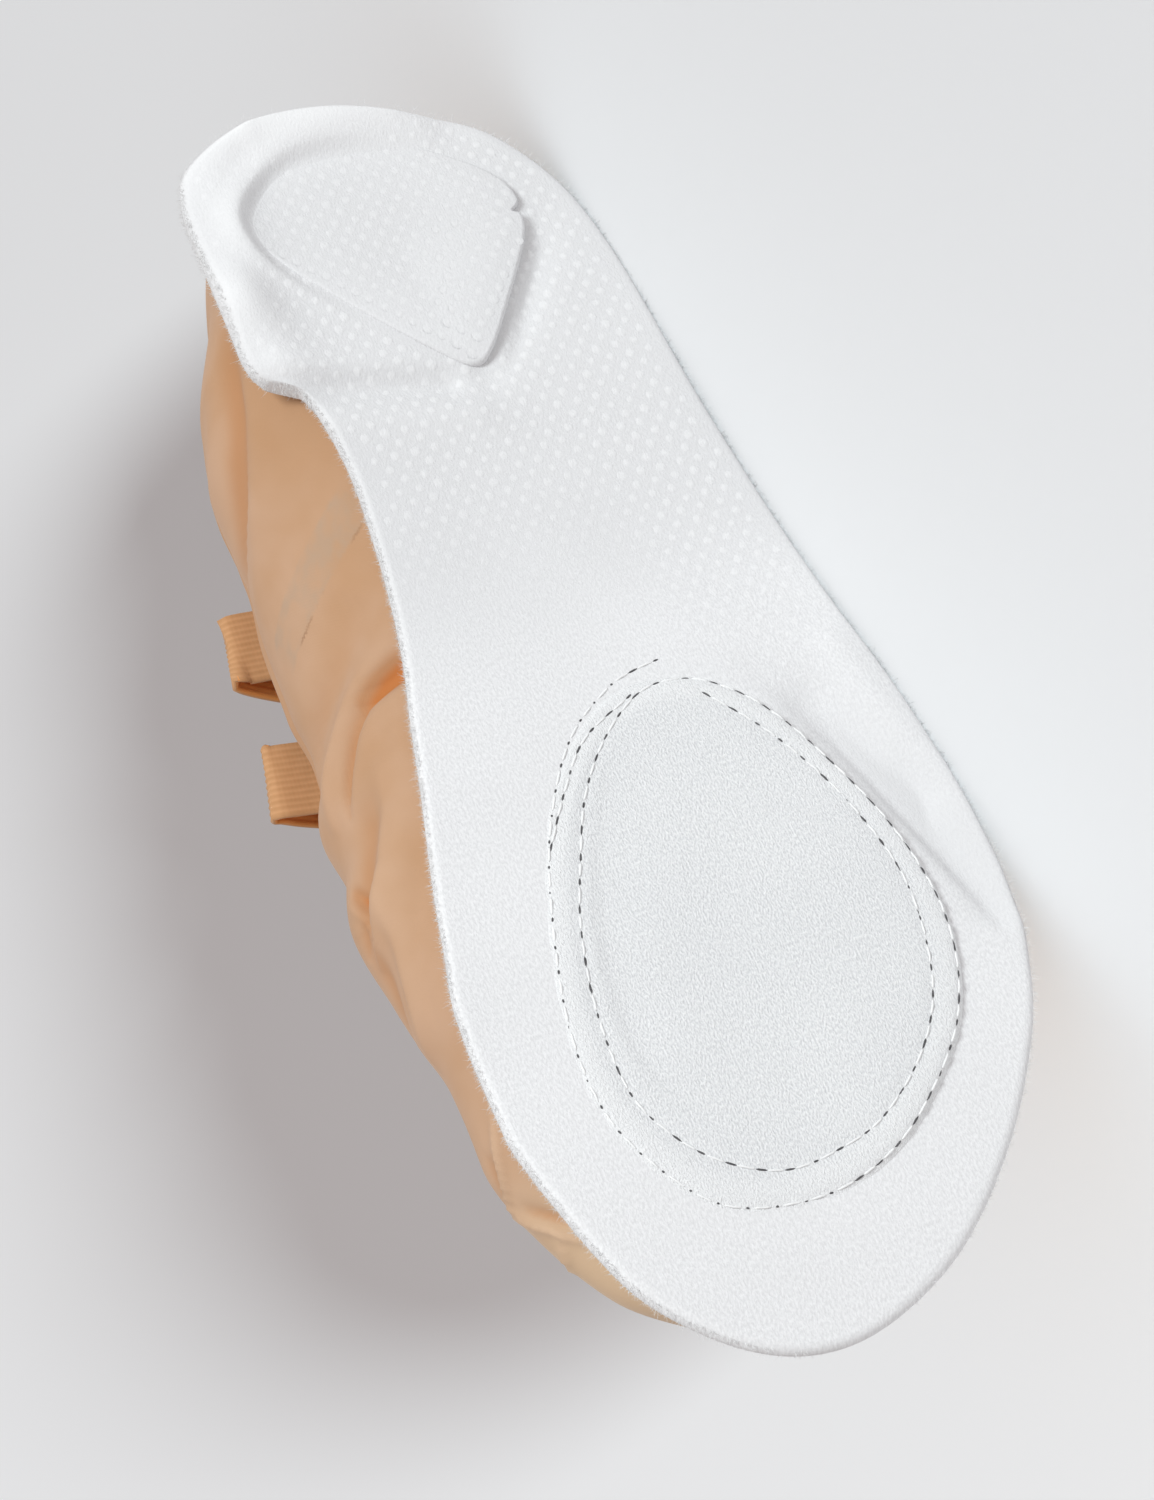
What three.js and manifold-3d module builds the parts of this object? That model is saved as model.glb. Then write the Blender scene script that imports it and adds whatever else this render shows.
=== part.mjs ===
// Canvas ballet slipper for the right foot, about adult size EU 37, lying on its outer side.
// Shoe frame, in millimetres: x from heel to toe, y to the inner side of the foot, z up from the sole.
// Every piece is made in the shoe frame, and the finished shoe is then laid on the floor.

import * as THREE from "three";
import { mergeVertices } from "three/addons/utils/BufferGeometryUtils.js";
import Module from "manifold-3d";

const wasm = await Module();
wasm.setup();

// Driving sizes of the last and of the materials
const SOLE_LENGTH = 232;
const BALL_WIDTH = 93;
const ANKLE_TOP = 76;
const HEEL_HEIGHT = 57;
const SOLE_THICK = 3;
const INSOLE_THICK = 1.5;
const PAD_GAP = 0.4;
const PAD_THICK = 1.2;
const PAD_BEVEL = 0.5;
const WALL = 1.4;
const SEAT_GAP = 0.3;
const UPPER_INSET = 2.5;
const INSOLE_CLEARANCE = 0.5;
const HEEL_LEAN = 6;
const HEEL_LEAN_FADE = 6;
const SWELL_HEIGHT = 60;
const NARROW_HALF = 12;

// Collar binding, a tape folded over the top edge of the upper
const BINDING_SKIN = 0.6;
const BINDING_DEPTH = 6;

// Elastic straps that cross over the instep
const STRAP_WIDTH = 14;
const STRAP_THICK = 1.2;
const STRAP_OFF_WALL = BINDING_SKIN + 2 * SEAT_GAP + STRAP_THICK / 2;
const STRAP_ARCH = 6;
const STRAP_END_DROP = 9;
const STRAP_SEAM_DROP = 4;
const STRAP_EDGE_RISE = 1.5;
const STRAP_RIM_RISE = 3.6;
const STRAP_BOW_RISE = 4.4;
const STRAP_INNER_SHOULDER_Y = 20;
const STRAP_MIDDLE_Y = -3;
const STRAP_OUTER_SHOULDER_Y = -22;
const STRAP_OUTER_BOW = 0.8;
const STRAP_OUTER_BOW_Z = 48;
const STRAP_OUTER_SEAM_Z = 39;
const STRAP_OUTER_END_Z = 33;
const STRAP_SEAM_SLACK = 0.2;

// How far a strap has crossed over at its seam, bow and shoulder on each side
const INNER_CROSSED = { bow: 0.02, shoulder: 0.14 };
const OUTER_CROSSED = { seam: 0.99, bow: 0.96, shoulder: 0.84 };

// Lying pose: turn about z that levels the outer edge, roll about x onto the upper,
// and the depth of the flat spots
const LIE_TURN_DEG = 6.6;
const LIE_ROLL_DEG = 5;
const FLOOR_FLAT = 0.5;

// How finely the surfaces are divided
const LAST_STATIONS = 36;
const LAST_STEPS = 26;
const SHEET_STATIONS = 64;
const SOLE_COLUMNS = 12;
const INSOLE_COLUMNS = 4;
const PAD_STEPS = 32;
const PAD_RINGS = [0.5, 0.94, 1];
const STRAP_STEPS = 44;
const COLLAR_STEPS = 28;
const CUTTER_HALF = 90;
const CUTTER_TOP = 130;
const MERGE_DISTANCE = 1e-4;

// Sole outline: place along the length, edges of the last in ball widths from the foot's axis, and how far
// the lip of the sole stands out of the last on the inner side
const SOLE_OUTLINE = [
  { at: 0, inner: 0.13, lip: 0, outer: 0.13 },
  { at: 0.013, inner: 0.285, lip: 0, outer: -0.06 },
  { at: 0.034, inner: 0.35, lip: 0, outer: -0.21 },
  { at: 0.07, inner: 0.368, lip: 0.4, outer: -0.29 },
  { at: 0.12, inner: 0.362, lip: 1.4, outer: -0.345 },
  { at: 0.172, inner: 0.342, lip: 3.5, outer: -0.37 },
  { at: 0.2, inner: 0.322, lip: 5, outer: -0.377 },
  { at: 0.21, inner: 0.314, lip: 4.6, outer: -0.379 },
  { at: 0.218, inner: 0.307, lip: 2.2, outer: -0.38 },
  { at: 0.226, inner: 0.3, lip: 0.3, outer: -0.382 },
  { at: 0.245, inner: 0.287, lip: 0, outer: -0.385 },
  { at: 0.296, inner: 0.276, lip: 0, outer: -0.396 },
  { at: 0.361, inner: 0.288, lip: 0, outer: -0.416 },
  { at: 0.409, inner: 0.306, lip: 0, outer: -0.43 },
  { at: 0.449, inner: 0.329, lip: 0, outer: -0.441 },
  { at: 0.496, inner: 0.365, lip: 0, outer: -0.454 },
  { at: 0.535, inner: 0.392, lip: 0, outer: -0.468 },
  { at: 0.582, inner: 0.426, lip: 0, outer: -0.484 },
  { at: 0.624, inner: 0.455, lip: 0, outer: -0.495 },
  { at: 0.668, inner: 0.481, lip: 0, outer: -0.503 },
  { at: 0.71, inner: 0.505, lip: 0, outer: -0.504 },
  { at: 0.754, inner: 0.511, lip: 0, outer: -0.495 },
  { at: 0.8, inner: 0.511, lip: 0, outer: -0.463 },
  { at: 0.83, inner: 0.498, lip: 0, outer: -0.43 },
  { at: 0.861, inner: 0.476, lip: 0, outer: -0.382 },
  { at: 0.893, inner: 0.45, lip: 0, outer: -0.323 },
  { at: 0.926, inner: 0.413, lip: 0, outer: -0.248 },
  { at: 0.966, inner: 0.325, lip: 0, outer: -0.129 },
  { at: 0.991, inner: 0.228, lip: 0, outer: 0 },
  { at: 1, inner: 0.118, lip: 0, outer: 0.118 },
];

// Lift of the sole under heel, arch, ball and toe
const SOLE_CAMBER = [
  { at: 0, lift: 0.8 },
  { at: 0.1, lift: 0 },
  { at: 0.22, lift: 0.5 },
  { at: 0.4, lift: 2.5 },
  { at: 0.58, lift: 0 },
  { at: 0.82, lift: 0 },
  { at: 0.92, lift: 0.8 },
  { at: 1, lift: 2.5 },
];

// Soft ridges (rise above 0) and troughs (rise below 0) on the under face, each along a straight run
const SOLE_RELIEF = [
  { fromX: 5, fromY: 27, toX: 34, toY: 32, width: 6, rise: 2 },
  { fromX: 34, fromY: 32, toX: 50, toY: 29, width: 6, rise: 1.6 },
  { fromX: 3, fromY: 22, toX: 6, toY: -10, width: 5, rise: 1.6 },
  { fromX: 55, fromY: 26, toX: 57, toY: -2, width: 4, rise: -1 },
  { fromX: 131, fromY: -30, toX: 150, toY: -39, width: 4.5, rise: -1.2 },
  { fromX: 150, fromY: -39, toX: 172, toY: -43, width: 4.5, rise: -1.2 },
];

// Last sections: top in ankle heights, tuck of the inner wall under the sole's edge,
// swell and collar pull of each side, squareness of the section
const LAST_SECTIONS = [
  { at: 0, top: 0.8, tuck: 0, swellIn: 0, swellOut: 0, pullIn: 6, pullOut: 6, square: 3 },
  { at: 0.06, top: 0.9, tuck: 4.7, swellIn: 2, swellOut: 0.5, pullIn: 5, pullOut: 5, square: 3 },
  { at: 0.14, top: 0.98, tuck: 0.9, swellIn: 6.4, swellOut: 1.6, pullIn: 1, pullOut: 5, square: 3 },
  { at: 0.21, top: 0.995, tuck: 0, swellIn: 13.5, swellOut: 2.4, pullIn: 0, pullOut: 5.3, square: 3 },
  { at: 0.26, top: 1, tuck: 0, swellIn: 15.5, swellOut: 2.8, pullIn: -1, pullOut: 5.5, square: 3 },
  { at: 0.32, top: 0.985, tuck: 0, swellIn: 15.5, swellOut: 3, pullIn: -4.5, pullOut: 5.5, square: 2.95 },
  { at: 0.38, top: 0.96, tuck: 0, swellIn: 15, swellOut: 3, pullIn: -4, pullOut: 5.5, square: 2.9 },
  { at: 0.43, top: 0.91, tuck: 0, swellIn: 15, swellOut: 3, pullIn: 0, pullOut: 5.3, square: 2.85 },
  { at: 0.5, top: 0.82, tuck: 0, swellIn: 15, swellOut: 2.8, pullIn: 0, pullOut: 5, square: 2.75 },
  { at: 0.58, top: 0.69, tuck: 0, swellIn: 15, swellOut: 2.2, pullIn: 0, pullOut: 3, square: 2.6 },
  { at: 0.66, top: 0.58, tuck: 0, swellIn: 10, swellOut: 1.4, pullIn: 0, pullOut: 0, square: 2.5 },
  { at: 0.74, top: 0.475, tuck: 0, swellIn: 4.7, swellOut: 1.2, pullIn: 0, pullOut: 0, square: 2.4 },
  { at: 0.84, top: 0.375, tuck: 0, swellIn: 6.5, swellOut: 1, pullIn: 0, pullOut: 0, square: 2.3 },
  { at: 0.92, top: 0.27, tuck: 0, swellIn: 4.4, swellOut: 1, pullIn: 0, pullOut: 0, square: 2.2 },
  { at: 0.97, top: 0.155, tuck: 0, swellIn: 0.5, swellOut: 0.5, pullIn: 0, pullOut: 0, square: 2.1 },
  { at: 1, top: 0.05, tuck: 0, swellIn: 0, swellOut: 0, pullIn: 0, pullOut: 0, square: 2 },
];

// Collar line seen from the side: height in heel heights, and how far down the tape of the binding reaches
const COLLAR_LINE = [
  { at: -0.05, height: 1, tape: 1 },
  { at: 0.06, height: 0.97, tape: 1 },
  { at: 0.15, height: 0.89, tape: 1 },
  { at: 0.26, height: 0.83, tape: 1 },
  { at: 0.38, height: 0.79, tape: 1 },
  { at: 0.48, height: 0.8, tape: 0.9 },
  { at: 0.56, height: 0.845, tape: 0.7 },
  { at: 0.64, height: 0.91, tape: 0.5 },
  { at: 0.74, height: 1, tape: 0.4 },
];

// Soft folds of the slack canvas on the inner side, each along a run from low to high
const INNER_FOLDS = [
  { lowX: 92, lowZ: 6, highX: 104, highZ: 30, width: 5, depth: -2 },
  { lowX: 106, lowZ: 8, highX: 116, highZ: 34, width: 6, depth: 1.4 },
  { lowX: 122, lowZ: 6, highX: 126, highZ: 30, width: 5, depth: -1.2 },
  { lowX: 40, lowZ: 8, highX: 46, highZ: 40, width: 6, depth: -1.2 },
];

// Egg outlines of the two pads: ends of the long axis, half width,
// lean of the width to the second end, fullness
const BALL_PAD = { startX: 116, startY: -10, endX: 209, endY: 6, half: 31.5, lean: 0.2, full: 1 };
const HEEL_PAD = { startX: 54.5, startY: -2.5, endX: 8.5, endY: 3.5, half: 21, lean: 0.3, full: 0.85 };

// Straps: where each leaves the inner collar, where it meets the outer collar, the top of its arch,
// and how far it bows out of the inner collar
const STRAPS = [
  { name: "strap_rear", innerX: 70.5, outerX: 99, archZ: 67, bow: 6.5 },
  { name: "strap_front", innerX: 98, outerX: 74, archZ: 70.8, bow: 8.2 },
];

// Finishes
const CLOTH_WHITE = new THREE.MeshStandardMaterial({ color: 0xeef0f2, roughness: 0.95, metalness: 0 });
const PAD_WHITE = new THREE.MeshStandardMaterial({ color: 0xe6e9ee, roughness: 0.97, metalness: 0 });
const CANVAS_TAN = new THREE.MeshStandardMaterial({ color: 0xe0ab7c, roughness: 0.9, metalness: 0 });
const TAPE_TAN = new THREE.MeshStandardMaterial({ color: 0xd99c68, roughness: 0.88, metalness: 0 });
const ELASTIC_TAN = new THREE.MeshStandardMaterial({ color: 0xcf9560, roughness: 0.85, metalness: 0 });
const LINING_BEIGE = new THREE.MeshStandardMaterial({ color: 0xe8d3bd, roughness: 0.95, metalness: 0 });

// Places along the length are spread like a cosine, so that both ends come out round
function placeToAngle(at) {
  return Math.acos(THREE.MathUtils.clamp(1 - 2 * at, -1, 1));
}

function angleToPlace(angle) {
  return (1 - Math.cos(angle)) / 2;
}

// Smooth curve through a table's rows with no overshoot: slopes are harmonic means of neighbouring rises
function curveThrough(knots, values) {
  const rises = knots.slice(1).map((knot, i) => (values[i + 1] - values[i]) / (knot - knots[i]));
  const slopes = knots.map((knot, i) => {
    if (i === 0) return rises[0];
    if (i === knots.length - 1) return rises[i - 1];
    const product = rises[i - 1] * rises[i];
    return product > 0 ? (2 * product) / (rises[i - 1] + rises[i]) : 0;
  });
  return (place) => {
    const inside = THREE.MathUtils.clamp(place, knots[0], knots[knots.length - 1]);
    let i = 0;
    while (i < knots.length - 2 && inside > knots[i + 1]) i += 1;
    const step = knots[i + 1] - knots[i];
    const u = (inside - knots[i]) / step;
    const startPart = values[i] * (1 + 2 * u) + slopes[i] * step * u;
    const endPart = values[i + 1] * (3 - 2 * u) - slopes[i + 1] * step * (1 - u);
    return startPart * (1 - u) ** 2 + endPart * u ** 2;
  };
}

function column(rows, name, scale = 1) {
  return curveThrough(rows.map((row) => placeToAngle(row.at)), rows.map((row) => row[name] * scale));
}

function columnByPlace(rows, name, scale = 1) {
  return curveThrough(rows.map((row) => row.at), rows.map((row) => row[name] * scale));
}

const innerEdge = column(SOLE_OUTLINE, "inner", BALL_WIDTH);
const outerEdge = column(SOLE_OUTLINE, "outer", BALL_WIDTH);
const soleLip = column(SOLE_OUTLINE, "lip");
const lastTop = column(LAST_SECTIONS, "top", ANKLE_TOP);
const innerSwell = column(LAST_SECTIONS, "swellIn");
const outerSwell = column(LAST_SECTIONS, "swellOut");
const innerTuck = column(LAST_SECTIONS, "tuck");
const innerPull = column(LAST_SECTIONS, "pullIn");
const outerPull = column(LAST_SECTIONS, "pullOut");
const squareness = column(LAST_SECTIONS, "square");
const camber = columnByPlace(SOLE_CAMBER, "lift");
const collarHeight = columnByPlace(COLLAR_LINE, "height", HEEL_HEIGHT);
const tapeReach = columnByPlace(COLLAR_LINE, "tape", BINDING_DEPTH);

// Bell of height 1 around the straight run between two points
function runBell(px, py, ax, ay, bx, by, width) {
  const along = ((px - ax) * (bx - ax) + (py - ay) * (by - ay)) / ((bx - ax) ** 2 + (by - ay) ** 2);
  const u = THREE.MathUtils.clamp(along, 0, 1);
  const away = Math.hypot(px - ax - u * (bx - ax), py - ay - u * (by - ay));
  return Math.exp(-((away / width) ** 2));
}

function soleUnder(x, y) {
  const relief = SOLE_RELIEF.reduce(
    (sum, row) => sum + row.rise * runBell(x, y, row.fromX, row.fromY, row.toX, row.toY, row.width),
    0,
  );
  return camber(x / SOLE_LENGTH) - relief;
}

function soleTop(x) {
  return camber(x / SOLE_LENGTH) + SOLE_THICK;
}

function foldDepth(x, z) {
  return INNER_FOLDS.reduce(
    (sum, row) => sum + row.depth * runBell(x, z, row.lowX, row.lowZ, row.highX, row.highZ, row.width),
    0,
  );
}

// One cross section of the last, a given distance inside the sole's outline
function section(angle, inward) {
  const place = angleToPlace(angle);
  const half = (innerEdge(angle) - outerEdge(angle)) / 2;
  const fade = Math.min(1, half / NARROW_HALF);
  const x = inward + place * (SOLE_LENGTH - 2 * inward);
  return {
    x,
    place,
    fade,
    mid: (innerEdge(angle) + outerEdge(angle)) / 2,
    half: half - inward * fade,
    base: soleTop(x) + SEAT_GAP,
    top: lastTop(angle) - (inward - UPPER_INSET),
    tuck: innerTuck(angle),
    innerSwell: innerSwell(angle),
    outerSwell: outerSwell(angle),
    innerPull: innerPull(angle),
    outerPull: outerPull(angle),
    square: squareness(angle),
  };
}

// Side position of the last's wall at a height: a squared ellipse with a swell, folds and the collar's pull
function wallSide(cut, z, side) {
  const rise = THREE.MathUtils.clamp((z - cut.base) / cut.top, 0, 1);
  const ellipse = cut.half * (1 - rise ** cut.square) ** (1 / cut.square);
  const swellTop = Math.min(SWELL_HEIGHT, cut.top);
  const bump = Math.sin(Math.PI * THREE.MathUtils.clamp((z - cut.base) / swellTop, 0, 1));
  const swell = side > 0 ? cut.innerSwell * bump - cut.tuck : cut.outerSwell * bump;
  const fold = side > 0 ? foldDepth(cut.x, z) * bump : 0;
  const pull = (side > 0 ? cut.innerPull : cut.outerPull) * (z / HEEL_HEIGHT) ** 2;
  return cut.mid + side * (ellipse + cut.fade * (1 - rise ** cut.square) * (swell + fold - pull));
}

function heelShift(cut, z) {
  return HEEL_LEAN * (z / HEEL_HEIGHT) ** 2 * (1 - cut.place) ** HEEL_LEAN_FADE;
}

function wallAt(x, z, side, inward) {
  const place = (x - inward) / (SOLE_LENGTH - 2 * inward);
  return wallSide(section(placeToAngle(place), inward), z, side);
}

// Closed mesh from points and triangles, with doubled points joined and flat slivers dropped
function closedGeometry(points, triangles) {
  const raw = new THREE.BufferGeometry();
  raw.setAttribute("position", new THREE.Float32BufferAttribute(points.flat(), 3));
  raw.setIndex(triangles.flat());
  const merged = mergeVertices(raw, MERGE_DISTANCE);
  const index = merged.index.array;
  const kept = [];
  for (let i = 0; i < index.length; i += 3) {
    const [a, b, c] = [index[i], index[i + 1], index[i + 2]];
    if (a !== b && b !== c && c !== a) kept.push(a, b, c);
  }
  merged.setIndex(kept);
  return merged;
}

function toSolid(geometry) {
  const bare = geometry.clone();
  bare.deleteAttribute("normal");
  bare.deleteAttribute("uv");
  const merged = mergeVertices(bare, MERGE_DISTANCE);
  const vertProperties = new Float32Array(merged.attributes.position.array);
  const triVerts = new Uint32Array(merged.index.array);
  return new wasm.Manifold(new wasm.Mesh({ numProp: 3, vertProperties, triVerts }));
}

function toMesh(name, solid, material) {
  const cut = solid.getMesh();
  const geometry = new THREE.BufferGeometry();
  geometry.setAttribute("position", new THREE.BufferAttribute(cut.vertProperties, 3));
  geometry.setIndex(new THREE.BufferAttribute(cut.triVerts, 1));
  geometry.computeVertexNormals();
  const mesh = new THREE.Mesh(geometry, material);
  mesh.name = name;
  return mesh;
}

// Sheet with the last's outline drawn in by a distance, with the lip or with the tuck, between two heights
function outlineSheet(inward, columns, lipShare, tuckShare, topOf, underOf) {
  const points = [];
  const triangles = [];
  const row = columns + 1;
  const layer = (SHEET_STATIONS + 1) * row;
  for (const heightOf of [topOf, underOf]) {
    for (let i = 0; i <= SHEET_STATIONS; i += 1) {
      const angle = (Math.PI * i) / SHEET_STATIONS;
      const cut = section(angle, inward);
      for (let j = 0; j <= columns; j += 1) {
        const innerLimit = cut.mid + cut.half + lipShare * soleLip(angle) - tuckShare * cut.fade * cut.tuck;
        const y = THREE.MathUtils.lerp(cut.mid - cut.half, innerLimit, j / columns);
        points.push([cut.x, y, heightOf(cut.x, y)]);
      }
    }
  }
  for (let i = 0; i < SHEET_STATIONS; i += 1) {
    for (let j = 0; j < columns; j += 1) {
      const a = i * row + j;
      triangles.push([a, a + row, a + row + 1], [a, a + row + 1, a + 1]);
      const b = layer + a;
      triangles.push([b, b + row + 1, b + row], [b, b + 1, b + row + 1]);
    }
    const o = i * row;
    const e = o + columns;
    triangles.push([layer + o, layer + o + row, o + row], [layer + o, o + row, o]);
    triangles.push([layer + e, e + row, layer + e + row], [layer + e, e, e + row]);
  }
  return toSolid(closedGeometry(points, triangles));
}

// Last form a given distance inside the sole's outline, with its under face dropped by a skirt
function lastForm(inward, skirt) {
  const points = [];
  const triangles = [];
  const row = LAST_STEPS + 1;
  for (let i = 0; i <= LAST_STATIONS; i += 1) {
    const cut = section((Math.PI * i) / LAST_STATIONS, inward);
    for (let j = 0; j <= LAST_STEPS; j += 1) {
      const turn = (Math.PI * j) / LAST_STEPS;
      const side = j * 2 <= LAST_STEPS ? 1 : -1;
      const atBase = j === 0 || j === LAST_STEPS;
      const z = cut.base + cut.top * (atBase ? 0 : Math.sin(turn));
      const atTop = j * 2 === LAST_STEPS;
      const y = atTop ? cut.mid : wallSide(cut, z, side);
      points.push([cut.x + heelShift(cut, z), y, z - (atBase ? skirt : 0)]);
    }
  }
  for (let i = 0; i < LAST_STATIONS; i += 1) {
    for (let j = 0; j < LAST_STEPS; j += 1) {
      const a = i * row + j;
      triangles.push([a, a + row + 1, a + row], [a, a + 1, a + row + 1]);
    }
    const o = i * row;
    const e = o + LAST_STEPS;
    triangles.push([o, o + row, e + row], [o, e + row, e]);
  }
  return toSolid(closedGeometry(points, triangles));
}

// Block that fills everything above the collar line, moved up or down by a distance at each place
function aboveCollar(shiftAt) {
  const first = COLLAR_LINE[0].at;
  const last = COLLAR_LINE[COLLAR_LINE.length - 1].at;
  const outline = new THREE.Shape();
  outline.moveTo(first * SOLE_LENGTH, CUTTER_TOP);
  for (let i = 0; i <= COLLAR_STEPS; i += 1) {
    const place = first + ((last - first) * i) / COLLAR_STEPS;
    outline.lineTo(place * SOLE_LENGTH, collarHeight(place) + shiftAt(place));
  }
  outline.lineTo(last * SOLE_LENGTH, CUTTER_TOP);
  const block = new THREE.ExtrudeGeometry(outline, { depth: 2 * CUTTER_HALF, bevelEnabled: false });
  block.rotateX(Math.PI / 2);
  block.translate(0, CUTTER_HALF, 0);
  return toSolid(block);
}

function makeUpper() {
  const shell = lastForm(UPPER_INSET, 0).subtract(lastForm(UPPER_INSET + WALL, SOLE_THICK));
  return shell.subtract(aboveCollar(() => 0));
}

// Binding: the collar's edge wrapped by a skin outside, inside and over the top
function makeBinding() {
  const slotOut = UPPER_INSET - SEAT_GAP;
  const slotIn = UPPER_INSET + WALL + SEAT_GAP;
  const wrap = lastForm(slotOut - BINDING_SKIN, 0).subtract(lastForm(slotIn + BINDING_SKIN, SOLE_THICK));
  const wholeSlot = lastForm(slotOut, 0).subtract(lastForm(slotIn, SOLE_THICK));
  const slot = wholeSlot.subtract(aboveCollar(() => SEAT_GAP));
  const band = wrap.intersect(aboveCollar((place) => -tapeReach(place)));
  return band.subtract(aboveCollar(() => SEAT_GAP + BINDING_SKIN)).subtract(slot);
}

// Pad with an egg outline, pressed to the under face of the sole, its lower rim bevelled
function makePad(egg) {
  const axis = new THREE.Vector2(egg.endX - egg.startX, egg.endY - egg.startY);
  const along = axis.clone().normalize();
  const across = new THREE.Vector2(along.y, -along.x);
  const eggPoint = (step, ring) => {
    const turn = (2 * Math.PI * step) / PAD_STEPS;
    const reach = (axis.length() / 2) * (1 - ring * Math.cos(turn));
    const bow = Math.sign(Math.sin(turn)) * Math.abs(Math.sin(turn)) ** egg.full;
    const spread = ring * egg.half * bow * (1 - egg.lean * Math.cos(turn));
    return [
      egg.startX + along.x * reach + across.x * spread,
      egg.startY + along.y * reach + across.y * spread,
    ];
  };
  const topOf = (x, y) => soleUnder(x, y) - PAD_GAP;
  const underOf = (x, y) => topOf(x, y) - PAD_THICK;
  const points = [];
  const triangles = [];
  const layer = 1 + PAD_RINGS.length * PAD_STEPS;
  for (const isTop of [true, false]) {
    const heightOf = isTop ? topOf : underOf;
    const [cx, cy] = eggPoint(0, 0);
    points.push([cx, cy, heightOf(cx, cy)]);
    for (const ring of PAD_RINGS) {
      for (let step = 0; step < PAD_STEPS; step += 1) {
        const [x, y] = eggPoint(step, ring);
        const lift = !isTop && ring === 1 ? PAD_BEVEL : 0;
        points.push([x, y, heightOf(x, y) + lift]);
      }
    }
  }
  for (let step = 0; step < PAD_STEPS; step += 1) {
    const next = (step + 1) % PAD_STEPS;
    triangles.push([0, 1 + step, 1 + next], [layer, layer + 1 + next, layer + 1 + step]);
    for (let ring = 1; ring < PAD_RINGS.length; ring += 1) {
      const inside = 1 + (ring - 1) * PAD_STEPS;
      const outside = inside + PAD_STEPS;
      const [a, b, c, d] = [inside + step, inside + next, outside + step, outside + next];
      triangles.push([a, c, d], [a, d, b]);
      triangles.push([layer + a, layer + d, layer + c], [layer + a, layer + b, layer + d]);
    }
    const rim = 1 + (PAD_RINGS.length - 1) * PAD_STEPS;
    triangles.push([rim + step, layer + rim + step, layer + rim + next]);
    triangles.push([rim + step, layer + rim + next, rim + next]);
  }
  return toSolid(closedGeometry(points, triangles));
}

// Flat elastic strap that rises inside the inner collar, bows out over it, arches over the instep
// and goes down inside the outer collar
function makeStrap(strap) {
  const shoulder = strap.archZ - STRAP_ARCH;
  const xAt = (crossed) => THREE.MathUtils.lerp(strap.innerX, strap.outerX, crossed);
  const places = (crossed) => [-0.5, 0, 0.5].map((share) => xAt(crossed) + share * STRAP_WIDTH);
  const inside = (crossed, z, side, extra) => {
    const reaches = places(crossed).map((x) => side * wallAt(x, z, side, UPPER_INSET + WALL));
    return [xAt(crossed), side * (Math.min(...reaches) - STRAP_OFF_WALL - extra), z];
  };
  const bowed = (crossed, z) => {
    const reaches = places(crossed).map((x) => wallAt(x, z, 1, UPPER_INSET));
    return [xAt(crossed), Math.max(...reaches) + STRAP_OFF_WALL + strap.bow, z];
  };
  const collar = Math.max(...places(0).map((x) => collarHeight(x / SOLE_LENGTH)));
  const rimY = wallAt(strap.innerX, collar, 1, UPPER_INSET + WALL / 2);
  const route = [
    inside(0, collar - STRAP_END_DROP, 1, 0),
    inside(0, collar - STRAP_SEAM_DROP, 1, STRAP_SEAM_SLACK),
    inside(0, collar + STRAP_EDGE_RISE, 1, 0),
    [strap.innerX, rimY, collar + STRAP_RIM_RISE],
    bowed(INNER_CROSSED.bow, collar + STRAP_BOW_RISE),
    [xAt(INNER_CROSSED.shoulder), STRAP_INNER_SHOULDER_Y, shoulder],
    [xAt(0.5), STRAP_MIDDLE_Y, strap.archZ],
    [xAt(OUTER_CROSSED.shoulder), STRAP_OUTER_SHOULDER_Y, shoulder],
    inside(OUTER_CROSSED.bow, STRAP_OUTER_BOW_Z, -1, STRAP_OUTER_BOW),
    inside(OUTER_CROSSED.seam, STRAP_OUTER_SEAM_Z, -1, STRAP_SEAM_SLACK),
    inside(1, STRAP_OUTER_END_Z, -1, 0),
  ].map((point) => new THREE.Vector3(...point));
  const path = new THREE.CatmullRomCurve3(route, false, "centripetal");
  const lengthways = new THREE.Vector3(1, 0, 0);
  const points = [];
  const triangles = [];
  for (let i = 0; i <= STRAP_STEPS; i += 1) {
    const centre = path.getPointAt(i / STRAP_STEPS);
    const tangent = path.getTangentAt(i / STRAP_STEPS);
    const wide = lengthways.clone().addScaledVector(tangent, -tangent.dot(lengthways)).normalize();
    const face = new THREE.Vector3().crossVectors(tangent, wide);
    for (const [w, t] of [[-1, -1], [1, -1], [1, 1], [-1, 1]]) {
      const corner = centre.clone();
      corner.addScaledVector(wide, (w * STRAP_WIDTH) / 2);
      corner.addScaledVector(face, (t * STRAP_THICK) / 2);
      points.push(corner.toArray());
    }
  }
  for (let i = 0; i < STRAP_STEPS; i += 1) {
    for (let k = 0; k < 4; k += 1) {
      const a = i * 4 + k;
      const b = i * 4 + ((k + 1) % 4);
      triangles.push([a, b, b + 4], [a, b + 4, a + 4]);
    }
  }
  const end = STRAP_STEPS * 4;
  triangles.push([0, 2, 1], [0, 3, 2], [end, end + 1, end + 2], [end, end + 2, end + 3]);
  return toSolid(closedGeometry(points, triangles));
}

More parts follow.
